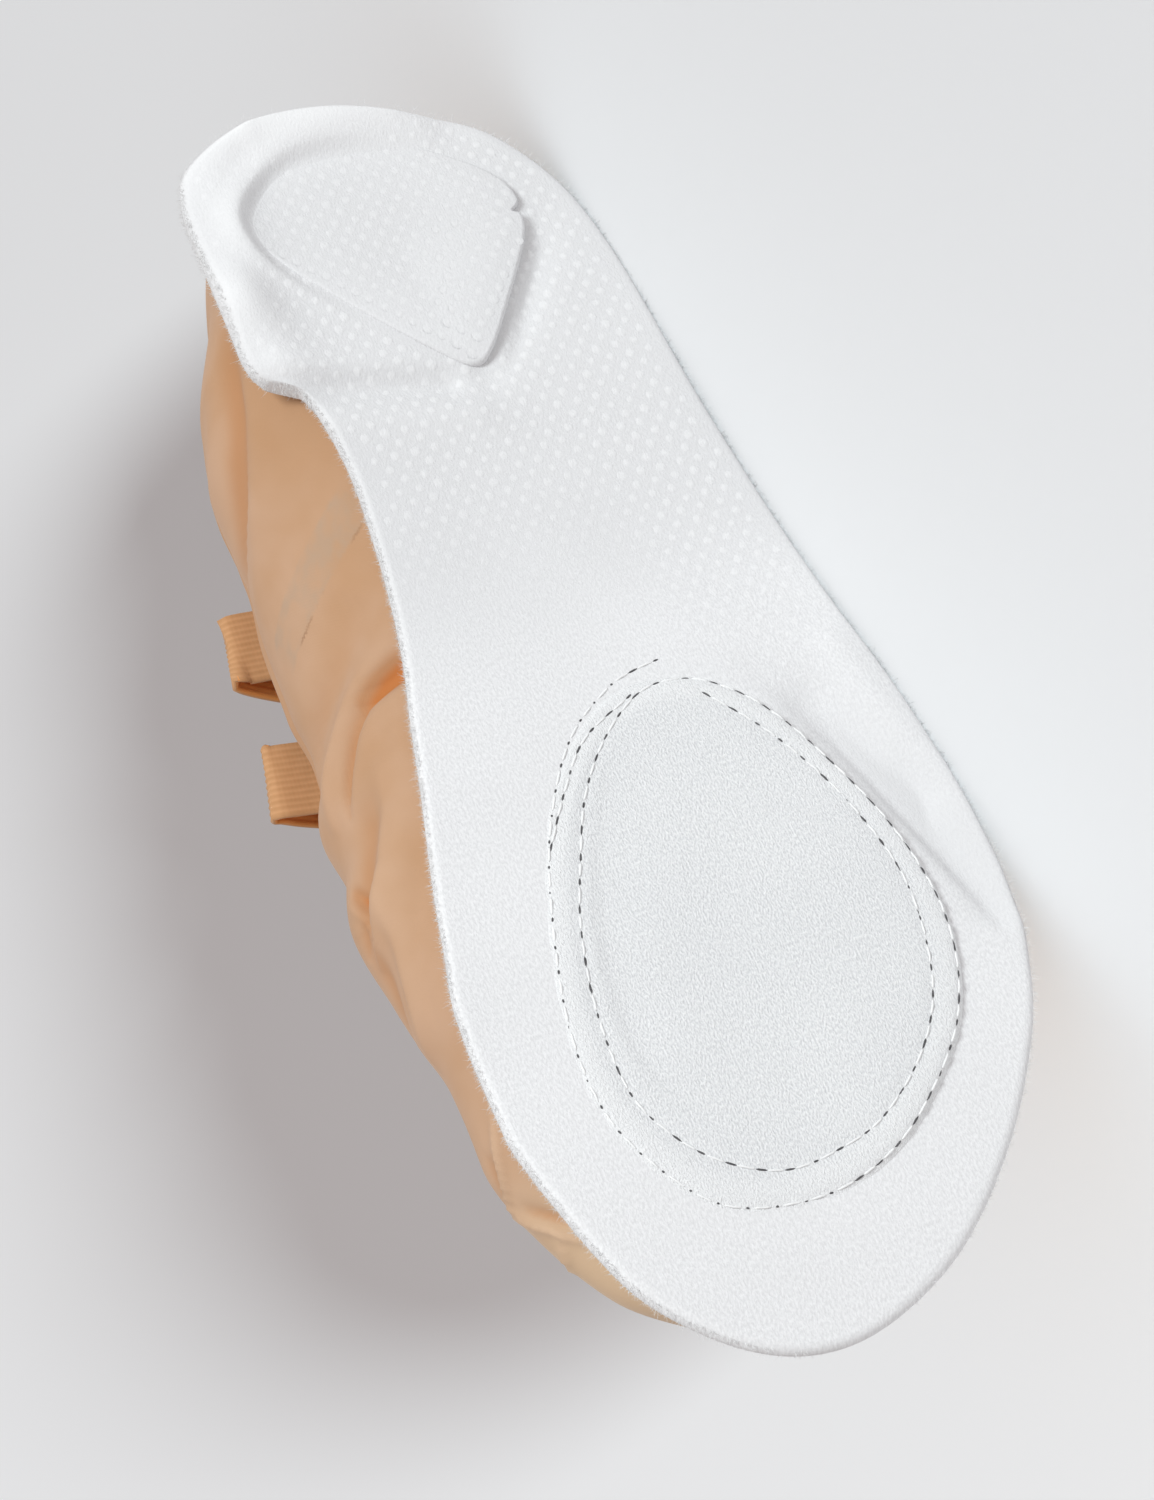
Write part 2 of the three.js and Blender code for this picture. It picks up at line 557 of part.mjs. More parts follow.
// Turn that lays the shoe on its outer side: toe to -x, inner side up, sole facing -y
function lyingTurn() {
  const lay = new THREE.Matrix4().makeBasis(
    new THREE.Vector3(-1, 0, 0),
    new THREE.Vector3(0, 0, 1),
    new THREE.Vector3(0, 1, 0),
  );
  lay.multiply(new THREE.Matrix4().makeRotationX(THREE.MathUtils.degToRad(LIE_ROLL_DEG)));
  lay.multiply(new THREE.Matrix4().makeRotationZ(THREE.MathUtils.degToRad(LIE_TURN_DEG)));
  return lay;
}

function lowestPoint(solid, turn) {
  const vertices = solid.getMesh().vertProperties;
  const point = new THREE.Vector3();
  let lowest = Infinity;
  for (let i = 0; i < vertices.length; i += 3) {
    point.fromArray(vertices, i).applyMatrix4(turn);
    lowest = Math.min(lowest, point.z);
  }
  return lowest;
}

// Block under the floor plane, in the shoe frame
function underFloor(floorZ, turn) {
  const span = 2 * SOLE_LENGTH;
  const block = new THREE.BoxGeometry(span, span, span);
  block.translate(0, 0, floorZ - span / 2);
  block.applyMatrix4(turn.clone().invert());
  return toSolid(block);
}

const pieces = [
  { name: "sole", material: CLOTH_WHITE, solid: outlineSheet(0, SOLE_COLUMNS, 1, 0, soleTop, soleUnder) },
  { name: "ball_pad", material: PAD_WHITE, solid: makePad(BALL_PAD) },
  { name: "heel_pad", material: PAD_WHITE, solid: makePad(HEEL_PAD) },
  { name: "upper", material: CANVAS_TAN, solid: makeUpper() },
  { name: "collar_binding", material: TAPE_TAN, solid: makeBinding() },
  ...STRAPS.map((strap) => ({ name: strap.name, material: ELASTIC_TAN, solid: makeStrap(strap) })),
  {
    name: "insole",
    material: LINING_BEIGE,
    solid: outlineSheet(
      UPPER_INSET + WALL + INSOLE_CLEARANCE,
      INSOLE_COLUMNS,
      0,
      1,
      (x) => soleTop(x) + SEAT_GAP + INSOLE_THICK,
      (x) => soleTop(x) + SEAT_GAP,
    ),
  },
];

// The shoe settles on small flat spots of its outer edge and wall
const turn = lyingTurn();
const floorZ = Math.min(...pieces.map((piece) => lowestPoint(piece.solid, turn))) + FLOOR_FLAT;
const floorBlock = underFloor(floorZ, turn);

const shoe = new THREE.Group();
for (const piece of pieces) {
  shoe.add(toMesh(piece.name, piece.solid.subtract(floorBlock), piece.material));
}
shoe.quaternion.setFromRotationMatrix(turn);
shoe.updateMatrixWorld(true);
const box = new THREE.Box3().setFromObject(shoe, true);
const middle = box.getCenter(new THREE.Vector3());
shoe.position.set(-middle.x, -middle.y, -floorZ);

const group = new THREE.Group();
group.name = "ballet_slipper";
group.add(shoe);

export default group;
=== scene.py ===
"""Canvas ballet slipper for the right foot, lying on its outer side: cloth, stitches, camera and light.

The shoe frame is in millimetres: x from heel to toe, y to the inner side of the foot, z up from the sole.
Every shape is worked out in the shoe frame as whole arrays and then laid on the floor, in metres.
"""

import math

import bmesh
import bpy
import numpy as np
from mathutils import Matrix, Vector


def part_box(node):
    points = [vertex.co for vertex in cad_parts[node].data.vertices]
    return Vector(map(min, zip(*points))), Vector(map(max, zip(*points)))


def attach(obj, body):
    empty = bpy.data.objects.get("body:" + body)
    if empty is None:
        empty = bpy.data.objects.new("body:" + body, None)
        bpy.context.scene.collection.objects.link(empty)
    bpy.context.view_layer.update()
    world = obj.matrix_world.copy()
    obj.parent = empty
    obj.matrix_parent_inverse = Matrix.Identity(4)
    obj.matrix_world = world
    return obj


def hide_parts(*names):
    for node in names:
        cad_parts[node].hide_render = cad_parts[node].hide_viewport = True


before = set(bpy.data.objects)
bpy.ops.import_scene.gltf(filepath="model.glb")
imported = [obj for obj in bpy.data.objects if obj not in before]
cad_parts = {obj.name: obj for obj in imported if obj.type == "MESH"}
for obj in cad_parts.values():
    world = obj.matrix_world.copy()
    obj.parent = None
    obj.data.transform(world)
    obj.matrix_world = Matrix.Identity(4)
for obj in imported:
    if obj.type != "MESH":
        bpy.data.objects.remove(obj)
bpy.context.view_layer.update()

# Sizes of the last and of the materials, in millimetres, and the power by which the heel's lean fades
SOLE_LENGTH = 232.0
BALL_WIDTH = 93.0
ANKLE_TOP = 76.0
HEEL_HEIGHT = 57.0
SOLE_THICK = 3.0
SOLE_LEAST = 0.5
INSOLE_THICK = 1.5
PAD_GAP = 0.4
PAD_THICK = 1.2
WALL = 1.4
SEAT_GAP = 0.3
UPPER_INSET = 2.5
INSOLE_CLEARANCE = 0.5
HEEL_LEAN = 6.0
HEEL_LEAN_FADE = 6.0
SWELL_HEIGHT = 60.0
NARROW_HALF = 12.0
BINDING_SKIN = 0.6
BINDING_DEPTH = 6.0
STRAP_WIDTH = 14.0
STRAP_THICK = 1.2
STRAP_OFF_WALL = BINDING_SKIN + 2 * SEAT_GAP + STRAP_THICK / 2

# Turn and roll of the lying shoe, metres in a millimetre, millimetres in a centimetre, distance at which
# doubled points are merged, in metres, and first seed of chance
LIE_TURN = math.radians(6.6)
LIE_ROLL = math.radians(5.0)
METRE = 0.001
CENTIMETRE = 10.0
MERGE = 1e-6
SEED = 7

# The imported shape: stations along its sole, and its ball pad, an egg with the foot of its axis, its axis,
# half width, taper, share of its full size and steps round it
CAD_STATIONS = 64
EGG_FOOT = (116, -10)
EGG_AXIS = (93.0, 16.0)
EGG_HALF_WIDTH = 31.5
EGG_TAPER = 0.2
EGG_SHARE = 0.94
EGG_STEPS = 32

# Places along the foot between which the collar's two sides meet, and how often that span is halved
THROAT_SPAN = (0.45, 0.80)
HALVINGS = 40


def table(names, *rows):
    """Columns of a short table, by name."""
    return dict(zip(names.split(), np.array(rows, dtype=float).T))


# Sole outline: place along the length, inner edge of the last and outer edge in ball widths from the foot's
# axis, and how far the sole's lip stands out of the last on the inner side
SOLE_OUTLINE = table(
    "at inner lip outer",
    (0, 0.13, 0, 0.13), (0.013, 0.285, 0, -0.06), (0.034, 0.35, 0, -0.21), (0.07, 0.368, 0.4, -0.29),
    (0.12, 0.362, 1.4, -0.345), (0.172, 0.342, 3.5, -0.37), (0.2, 0.322, 5, -0.377),
    (0.21, 0.314, 4.6, -0.379), (0.218, 0.307, 2.2, -0.38), (0.226, 0.3, 0.3, -0.382),
    (0.245, 0.287, 0, -0.385), (0.296, 0.276, 0, -0.396), (0.361, 0.288, 0, -0.416),
    (0.409, 0.306, 0, -0.43), (0.449, 0.329, 0, -0.441), (0.496, 0.365, 0, -0.454),
    (0.535, 0.392, 0, -0.468), (0.582, 0.426, 0, -0.484), (0.624, 0.455, 0, -0.495),
    (0.668, 0.481, 0, -0.503), (0.71, 0.505, 0, -0.504), (0.754, 0.511, 0, -0.495), (0.8, 0.511, 0, -0.463),
    (0.83, 0.498, 0, -0.43), (0.861, 0.476, 0, -0.382), (0.893, 0.45, 0, -0.323), (0.926, 0.413, 0, -0.248),
    (0.966, 0.325, 0, -0.129), (0.991, 0.228, 0, 0), (1, 0.118, 0, 0.118),
)

# Lift of the sole under heel, arch, ball and toe
SOLE_CAMBER = table(
    "at lift", (0, 0.8), (0.1, 0), (0.22, 0.5), (0.4, 2.5), (0.58, 0), (0.82, 0), (0.92, 0.8), (1, 2.5),
)

# Soft ridges (rise above 0) and troughs (rise below 0) on the under face, each along a straight run
SOLE_RELIEF = table(
    "from_x from_y to_x to_y width rise",
    (5, 27, 34, 32, 6, 2.0), (34, 32, 50, 29, 6, 1.6), (3, 22, 6, -10, 5, 1.6), (55, 26, 57, -2, 4, -1.0),
    (131, -30, 150, -39, 4.5, -1.2), (150, -39, 172, -43, 4.5, -1.2),
)

# Finer dents of the cloth on the under face, in the same columns
SOLE_DENTS = table(
    "from_x from_y to_x to_y width rise",
    (50, 34, 57, 4, 2.2, -0.9), (47, 30, 55, 0, 2.6, 0.5), (59, 24, 64, 2, 3.5, 0.5),
    (0.5, 18, 0.5, -6, 5, 3.2), (122, -38, 146, -43, 3.5, 0.7), (150, -44, 178, -46, 4.5, 0.7),
    (92, -4, 112, -14, 9, 0.35),
)

# Folds of the under face along bent paths: rise, width on the left and on the right of the path, painted
# light (below 0 painted shade), and the path in x and y. The lip round the heel pad's back, the trough beside
# its cut edge, the trough beside the ball pad and the painted shade in it
SOLE_FOLDS = (
    (1.5, 3.2, 1.5, 0.0, ((14, -13), (8.6, -4), (6.6, 6), (8.6, 17), (17, 26.2), (25, 26.6), (33, 21.6),
                          (42, 13.6))),
    (-0.9, 1.4, 3.0, 0.0, ((24, -25.5), (36, -21.4), (46, -14.6), (55, -8.4), (60, -2))),
    (-1.9, 2.2, 4.6, 0.0, ((118, -20.5), (130, -27.5), (144, -33.4), (160, -38.2), (172, -41.4), (184, -43))),
    (0.0, 2.4, 8.0, -0.9, ((119, -26), (134, -31.5), (148, -36.4), (162, -40.4), (178, -43.8), (196, -44.5))),
)

# Folds: power of the sine that tapers them on the sole and on the canvas, share of their width at the start,
# which falls by one to the end, and steps in each span of their paths
SOLE_FOLD_TAPER = 1.2
CANVAS_FOLD_TAPER = 0.6
FOLD_NARROWS = 1.5
FOLD_STEPS = 14

# Last sections: top in ankle heights, tuck of the inner wall, swell and collar pull of each side, squareness
LAST_SECTIONS = table(
    "at top tuck inner_swell outer_swell inner_pull outer_pull square",
    (0, 0.8, 0, 0, 0, 6, 6, 3), (0.06, 0.9, 4.7, 2, 0.5, 5, 5, 3), (0.14, 0.98, 0.9, 6.4, 1.6, 1, 5, 3),
    (0.21, 0.995, 0, 13.5, 2.4, 0, 5.3, 3), (0.26, 1, 0, 15.5, 2.8, -1, 5.5, 3),
    (0.32, 0.985, 0, 15.5, 3, -4.5, 5.5, 2.95), (0.38, 0.96, 0, 15, 3, -4, 5.5, 2.9),
    (0.43, 0.91, 0, 15, 3, 0, 5.3, 2.85), (0.5, 0.82, 0, 15, 2.8, 0, 5, 2.75),
    (0.58, 0.69, 0, 15, 2.2, 0, 3, 2.6), (0.66, 0.58, 0, 10, 1.4, 0, 0, 2.5),
    (0.74, 0.475, 0, 4.7, 1.2, 0, 0, 2.4), (0.84, 0.375, 0, 6.5, 1, 0, 0, 2.3),
    (0.92, 0.27, 0, 4.4, 1, 0, 0, 2.2), (0.97, 0.155, 0, 0.5, 0.5, 0, 0, 2.1), (1, 0.05, 0, 0, 0, 0, 0, 2),
)

# Collar line seen from the side: height in heel heights, and how far down the binding tape reaches
COLLAR_LINE = table(
    "at height tape",
    (-0.05, 1, 1), (0.06, 0.97, 1), (0.15, 0.89, 1), (0.26, 0.83, 1), (0.38, 0.79, 1), (0.48, 0.8, 0.9),
    (0.56, 0.845, 0.7), (0.64, 0.91, 0.5), (0.74, 1, 0.4),
)

# Large soft folds of the slack canvas on the inner side, each along a run from low to high
LARGE_FOLDS = table(
    "from_x from_y to_x to_y width rise",
    (92, 6, 104, 30, 5, -2.0), (106, 8, 116, 34, 6, 1.4), (122, 6, 126, 30, 5, -1.2), (40, 8, 46, 40, 6, -1.2),
)

# Folds of the slack canvas on the inner side: rise over the canvas, width on the left and on the right of
# the path, painted light in it (above 0 warm painted shade in the crease, below 0 a painted highlight on the
# ridge), and the path in x and height, drawn with x to the right
INNER_FOLDS = (
    (-1.7, 4.2, 1.9, 0.60, ((26, 11), (39, 14.6), (47, 16.7), (56, 23.5), (62.7, 31.7), (67, 41))),
    (0.7, 1.8, 5.0, 0.0, ((40, 11), (49, 14), (58, 20.6), (66, 27), (72, 35))),
    (0.6, 4.0, 3.0, 0.0, ((34, 20), (44, 27), (52, 36))),
    (-1.4, 3.8, 2.4, 0.20, ((86, 12), (91.4, 17.2), (94.7, 21.4), (97.2, 26.3), (99.7, 31.3), (103, 37))),
    (-2.2, 2.6, 2.6, 1.7, ((103.5, -10), (102.8, 0), (102, 7), (101.8, 12), (103.2, 17))),
    (-2.0, 1.5, 1.5, 0.55, ((101.6, 7), (102.6, 14.4), (106, 17.4), (111, 18.6), (120, 21))),
    (1.5, 4.0, 1.7, 0.0, ((95, 4), (97.6, 11.5), (99.6, 16), (102.5, 20), (107, 22.2), (112.5, 23.2),
                          (120, 24.5))),
    (0.9, 1.5, 5.0, 0.0, ((107, 0), (106.8, 8), (107.3, 13), (112, 16))),
    (0.8, 4.0, 4.0, 0.0, ((111, 8), (117, 12), (123, 17))),
    (1.4, 1.5, 5.0, -0.10, ((115, 11.4), (120.6, 11.5), (129, 11.6), (134.8, 12.5), (141.4, 16), (147, 20))),
    (-1.1, 3.0, 2.0, 0.4, ((118, 16), (129, 16), (136, 17), (144, 22))),
    (1.3, 1.4, 4.5, -0.10, ((133, 14), (143.9, 12), (151, 12.6), (158.2, 14), (166, 18))),
    (-0.9, 3.0, 2.0, 0.4, ((138, 19), (150, 18), (160, 21))),
    (-0.4, 1.5, 1.5, 0.0, ((124, 6.5), (131.5, 6.2), (138, 6.3), (151, 9), (162, 10))),
    (-1.2, 0.9, 0.8, 0.8, ((131, 21.6), (135.6, 17.4), (138.1, 16.4), (142.6, 16.8))),
    (0.5, 0.9, 0.8, 0.0, ((132, 23), (137, 19), (142, 18.6))),
    (1.1, 0.9, 0.7, -0.35, ((179, 5), (184, 7), (188.4, 9), (191, 11), (194, 14.4))),
    (-0.9, 1.4, 0.9, 0.4, ((184, 9.6), (189, 12), (192, 15.4))),
    (1.1, 0.9, 0.8, -0.35, ((193, 14.2), (196.5, 10.6), (198.8, 8.4), (202.2, 6.1), (206, 4))),
    (-0.9, 1.0, 1.4, 0.4, ((194.4, 10.8), (198, 7), (202, 4.4))),
    (0.8, 0.7, 0.9, -0.3, ((200.8, 6.4), (203, 10), (205, 14))),
)

# Creases on the side that lies on the floor, in the columns of the large folds
OUTER_CREASES = table(
    "from_x from_y to_x to_y width rise",
    (38, 22, 46, 46, 4, -0.5), (88, 26, 100, 44, 4.5, -0.6), (118, 24, 126, 44, 4.5, -0.5),
    (150, 14, 162, 26, 3.5, -0.5), (186, 6, 194, 12, 1.6, -0.5), (200, 5, 207, 10, 1.6, -0.5),
)

# Pale sheer tape that reinforces the canvas: middle line in x and height, half width, softness of its edge,
# and where along the line it rises and ends
TAPE_FOOT = (69.5, 5.0)
TAPE_HEAD = (83.0, 28.6)
TAPE_HALF = 4.0
TAPE_RAISE = 0.2
TAPE_SOFT = 0.3
TAPE_START = (-1, 1)
TAPE_END = (26, 30)

# Where painted light makes the canvas paler towards the toe and again at its tip, in centimetres along the
# foot
TOE_HIGHLIGHT = (16.5, 20.0)
TIP_HIGHLIGHT = (18.5, 21.0)

# Row of stitches round the ball pad, a spiral that starts at the arch and goes once round outside and once
# inside, and a short row beside its start
STITCH_SPIRAL = table(
    "x y",
    (116, -8.6), (116.8, -3.8), (118.6, 1.4), (124.8, 10.3), (134.4, 17.7), (148, 24.5), (170.1, 31.2),
    (186.8, 32.1), (199, 27.2), (207.1, 19.5), (209.8, 6.6), (207.8, -4.8), (201.6, -15.5), (189.4, -27.3),
    (174, -33), (157, -32), (140, -26.3), (129.2, -20.7), (123, -14.7), (120.6, -9.4), (121.5, -2.2),
    (127.4, 6), (136, 13.2), (145.7, 18.2), (157, 23.1), (170.7, 26.5), (185, 27.2), (194, 23.6),
    (200.4, 17.6), (204.3, 9.3), (203.9, 0.3), (201.0, -9), (192.4, -19.8), (181.4, -26.5), (165.2, -29.5),
    (149.1, -26.4), (135.5, -20.2), (124.3, -12.2),
)
STITCH_OVERLAP = table("x y", (121.2, -1.3), (126.5, 9.1), (134.2, 15.9), (144, 22.8))

# Stitches: pitch, share of it over which the thread shows, half width and half height of a thread and of a
# needle hole, length of a hole, share of the spiral that is its outer row, and how short that row's holes
# are on the inner side
STITCH_PITCH = 4.6
STITCH_SHARE = 0.62
THREAD_HALF = (0.18, 0.135)
HOLE_HALF = (0.18, 0.081)
HOLE_LENGTH = 1.9
OUTER_ROW_SHARE = 0.5
OUTER_ROW_FAINT = 0.42

# Outline of the ball pad, a little outside the outer row of stitches
BALL_PAD_RIM = table(
    "x y",
    (119.4, -9), (119.0, -1), (122.6, 7.4), (133.4, 18.0), (148.5, 25.8), (170.2, 32.3), (187.4, 33.2),
    (200.2, 28.1), (208.3, 20.0), (211.0, 6.6), (208.9, -5.6), (202.4, -16.6), (189.9, -28.5), (174, -34.2),
    (156.6, -33.2), (139.4, -27.4), (128.4, -21.6), (121.8, -15.2),
)

# Outline of the heel pad, with the nick in its outer side, and how proud its cut edge stands there
HEEL_PAD_RIM = table(
    "x y proud",
    (18.2, 23.6, 0.15), (10.5, 15.5, 0.1), (8.6, 5.5, 0.1), (10.6, -6.0, 0.25), (15.6, -14.5, 0.6),
    (21.5, -19.8, 1.0), (26.4, -21.0, 1.2), (28.4, -19.2, 1.3), (30.0, -20.4, 1.4), (35.0, -18.4, 1.6),
    (45.4, -11.2, 1.8), (52.8, -5.6, 1.7), (55.0, -2.2, 1.4), (52.4, 2.0, 0.9), (42.4, 10.8, 0.5),
    (29.4, 21.2, 0.3), (23.6, 24.4, 0.2),
)

# Middle of the heel pad in plan, and steps in each span of the two pads' rims
HEEL_PAD_MIDDLE = np.array([29.0, 2.0])
BALL_RIM_STEPS = 10
HEEL_RIM_STEPS = 12

# Raised dots of the knit mesh: distance across the foot, gap of the staggered rows and its growth from row to
# row, scatter, half sizes, spread of sizes and height
DOT_ACROSS = 3.55
DOT_ROW_GAP = 1.85
DOT_ROW_GROWTH = 0.0045
DOT_CHANCE = 0.08
DOT_HALF_ACROSS = 0.98
DOT_HALF_ALONG = 1.0
DOT_SIZES = (0.82, 1.12)
DOT_HEIGHT = 0.09

# Strength of the dots: their painted highlight, their share on the heel pad, the painted highlight of ridges
# over which they fade, the x where they fade over the middle and beside the ball pad, the y between the two,
# and the least that is kept
DOT_HIGHLIGHT = 0.5
DOT_ON_PAD = 0.7
DOT_RIM_FADE = (0.25, 0.6)
DOT_FADE_MIDDLE = (66.0, 108.0)
DOT_FADE_BESIDE = (92.0, 142.0)
DOT_BESIDE = (-22.0, -10.0)
DOT_LEAST = 0.06

# Room left free of dots: at the sole's edge, at its ends, and inside and outside the heel pad's rim
DOT_MARGIN = 2.8
DOT_END_MARGIN = 6.5
DOT_PAD_EDGE = (0.97, 1.03)

# Straps: where each leaves the inner collar, where it meets the outer collar, the top of its arch, and how
# far it bows out of the inner collar
STRAPS = (("strap_rear", 70.5, 99.0, 67.0, 6.5), ("strap_front", 98.0, 74.0, 70.8, 8.2))
STRAP_ARCH = 6.0
STRAP_END_DROP = 9.0
STRAP_SEAM_DROP = 4.0
STRAP_EDGE_RISE = 1.5
STRAP_RIM_RISE = 3.6
STRAP_BOW_RISE = 4.4
STRAP_LEAN = 2.0
STRAP_TWIST = 0.26
STRAP_TWIST_ENDS = (0.06, 0.15, 0.22, 0.40)
STRAP_INNER_SHOULDER_Y = 20.0
STRAP_MIDDLE_Y = -3.0
STRAP_OUTER_SHOULDER_Y = -22.0
STRAP_OUTER_BOW = 0.8
STRAP_OUTER_BOW_Z = 48.0
STRAP_OUTER_SEAM_Z = 39.0
STRAP_OUTER_END_Z = 33.0
STRAP_SEAM_SLACK = 0.2

# How far a strap has crossed over at its bow and shoulder on the inner side, and at its seam, bow and
# shoulder on the outer side
INNER_CROSSED = (0.02, 0.14)
OUTER_CROSSED = (0.99, 0.96, 0.84)
STRAP_RIBS = 12
STRAP_RIB_DEPTH = 0.09

# Camera in the shoe frame: direction towards it, aim, distance, roll, angle of view of the long side, and
# the nearest that it sees, in metres
CAMERA_SIDE = (0.40, 0.36)
CAMERA_AIM = (128.1, 11.2, 0.0)
CAMERA_DISTANCE = 666.1
CAMERA_ROLL = math.radians(-25.0)
CAMERA_VIEW = math.radians(20.0)
CAMERA_NEAR = 0.01


# Curves and sections of the last

def to_angle(at):
    """Angle of a place along the length: places are spread like a cosine, so both ends come out round."""
    return np.arccos(np.clip(1 - 2 * np.asarray(at, dtype=float), -1, 1))


def to_place(angle):
    """Place along the length of an angle."""
    return (1 - np.cos(angle)) / 2


def curve_through(knots, values):
    """Smooth curve through a table without overshoot: a slope is the harmonic mean of the rises beside it."""
    steps = np.diff(knots)
    rises = np.diff(values) / steps
    product = rises[:-1] * rises[1:]
    total = np.where(product > 0, rises[:-1] + rises[1:], 1.0)
    slopes = np.concatenate([rises[:1], np.where(product > 0, 2 * product / total, 0.0), rises[-1:]])

    def curve(at):
        inside = np.clip(at, knots[0], knots[-1])
        i = np.clip(np.searchsorted(knots, inside, side="right") - 1, 0, len(steps) - 1)
        u = (inside - knots[i]) / steps[i]
        start = values[i] * (1 + 2 * u) + slopes[i] * steps[i] * u
        end = values[i + 1] * (3 - 2 * u) - slopes[i + 1] * steps[i] * (1 - u)
        return start * (1 - u) ** 2 + end * u ** 2

    return curve


def by_angle(rows, name, scale=1.0):
    """Curve of a table's column over the angle of its places."""
    return curve_through(to_angle(rows["at"]), rows[name] * scale)


def by_place(rows, name, scale=1.0):
    """Curve of a table's column over its places."""
    return curve_through(rows["at"], rows[name] * scale)


inner_edge = by_angle(SOLE_OUTLINE, "inner", BALL_WIDTH)
outer_edge = by_angle(SOLE_OUTLINE, "outer", BALL_WIDTH)
sole_lip = by_angle(SOLE_OUTLINE, "lip")
camber = by_place(SOLE_CAMBER, "lift")
collar_height = by_place(COLLAR_LINE, "height", HEEL_HEIGHT)
tape_reach = by_place(COLLAR_LINE, "tape", BINDING_DEPTH)
last_curves = {name: by_angle(LAST_SECTIONS, name) for name in LAST_SECTIONS if name != "at"}


def bells(rows, px, py):
    """Sum over the rows of rise times exp of minus the square of the distance to the row's run, in widths."""
    total = np.zeros(np.broadcast(px, py).shape)
    for ax, ay, bx, by, width, rise in zip(*rows.values()):
        along = ((px - ax) * (bx - ax) + (py - ay) * (by - ay)) / ((bx - ax) ** 2 + (by - ay) ** 2)
        u = np.clip(along, 0, 1)
        away = np.hypot(px - ax - u * (bx - ax), py - ay - u * (by - ay))
        total = total + rise * np.exp(-((away / width) ** 2))
    return total


def sole_under(x, y):
    """Under face of the sole: the camber lowered by the ridges and raised by the troughs."""
    return camber(x / SOLE_LENGTH) - bells(SOLE_RELIEF, x, y)


def sole_face(x, y):
    """Under face with the finer dents and folds, at least the least thickness below the top face."""
    dented = sole_under(x, y) - bells(SOLE_DENTS, x, y) - fold_relief(SOLE_FOLDS, x, y, SOLE_FOLD_TAPER)[0]
    return np.minimum(dented, sole_top(x) - SOLE_LEAST)


def sole_top(x):
    """Top face of the sole: the camber and the thickness."""
    return camber(x / SOLE_LENGTH) + SOLE_THICK


def section(angle, inward):
    """Numbers of one cross section of the last, a distance inside the sole's outline."""
    place = to_place(angle)
    half = (inner_edge(angle) - outer_edge(angle)) / 2
    fade = np.minimum(1, half / NARROW_HALF)
    x = inward + place * (SOLE_LENGTH - 2 * inward)
    cut = {name: curve(angle) for name, curve in last_curves.items()}
    cut.update(x=x, place=place, fade=fade, half=half - inward * fade)
    cut["mid"] = (inner_edge(angle) + outer_edge(angle)) / 2
    cut["base"] = sole_top(x) + SEAT_GAP
    cut["top"] = cut["top"] * ANKLE_TOP - (inward - UPPER_INSET)
    return cut


def sole_edge(angle, side, inward):
    """Point of the sole's outline in plan, with its lip, a distance inside it."""
    cut = section(angle, inward)
    return cut["x"], cut["mid"] + side * cut["half"] + np.where(np.asarray(side) > 0, sole_lip(angle), 0)


def heel_shift(cut, z):
    """Lean of the heel to the toe: it grows with the square of the height and fades along the foot."""
    return HEEL_LEAN * (z / HEEL_HEIGHT) ** 2 * (1 - cut["place"]) ** HEEL_LEAN_FADE


def wall_side(cut, z, side):
    """Side of the wall at a height: a squared ellipse with swell, large folds and the collar's pull."""
    n = cut["square"]
    rise = np.clip((z - cut["base"]) / cut["top"], 0, 1)
    room = 1 - rise ** n
    bump = np.sin(np.pi * np.clip((z - cut["base"]) / np.minimum(SWELL_HEIGHT, cut["top"]), 0, 1))
    if side > 0:
        bulge = (cut["inner_swell"] + bells(LARGE_FOLDS, cut["x"], z)) * bump - cut["tuck"]
        pull = cut["inner_pull"]
    else:
        bulge = cut["outer_swell"] * bump
        pull = cut["outer_pull"]
    push = cut["fade"] * room * (bulge - pull * (z / HEEL_HEIGHT) ** 2)
    return cut["mid"] + side * (cut["half"] * room ** (1 / n) + push)


def wall_point(angle, z, side, inward):
    """Point of the wall: the section's place along the foot, its side position and the height."""
    cut = section(angle, inward)
    x = cut["x"] + heel_shift(cut, z)
    return np.stack(np.broadcast_arrays(x, wall_side(cut, z, side), z), axis=-1)


def wall_at(x, z, side, inward):
    """Side position of the wall at a place and a height."""
    place = (x - inward) / (SOLE_LENGTH - 2 * inward)
    return wall_side(section(to_angle(place), inward), z, side)


def collar_z(angle, inward, drop):
    """Height of the collar line, less a drop, over the section at an angle, with the heel's lean."""
    cut = section(angle, inward)
    first = collar_height(cut["x"] / SOLE_LENGTH) - drop
    return collar_height((cut["x"] + heel_shift(cut, first)) / SOLE_LENGTH) - drop


def throat_angle(inward, drop):
    """Angle where the collar line, less a drop, meets the top of the last, by halving."""
    low, high = (np.full(np.shape(inward), to_angle(place)) for place in THROAT_SPAN)
    for _ in range(HALVINGS):
        middle = (low + high) / 2
        cut = section(middle, inward)
        still_open = cut["base"] + cut["top"] > collar_z(middle, inward, drop)
        low = np.where(still_open, middle, low)
        high = np.where(still_open, high, middle)
    return low


# Laying the shoe down and making meshes

def lying_turn():
    """Toe to -x, inner side up, sole facing -y, after a turn about z and a roll about x."""
    lay = np.array([[-1.0, 0, 0], [0, 0, 1], [0, 1, 0]])
    c, s = math.cos(LIE_ROLL), math.sin(LIE_ROLL)
    roll = np.array([[1.0, 0, 0], [0, c, -s], [0, s, c]])
    c, s = math.cos(LIE_TURN), math.sin(LIE_TURN)
    turn = np.array([[c, -s, 0], [s, c, 0], [0, 0, 1.0]])
    return lay @ roll @ turn


TURN = lying_turn()


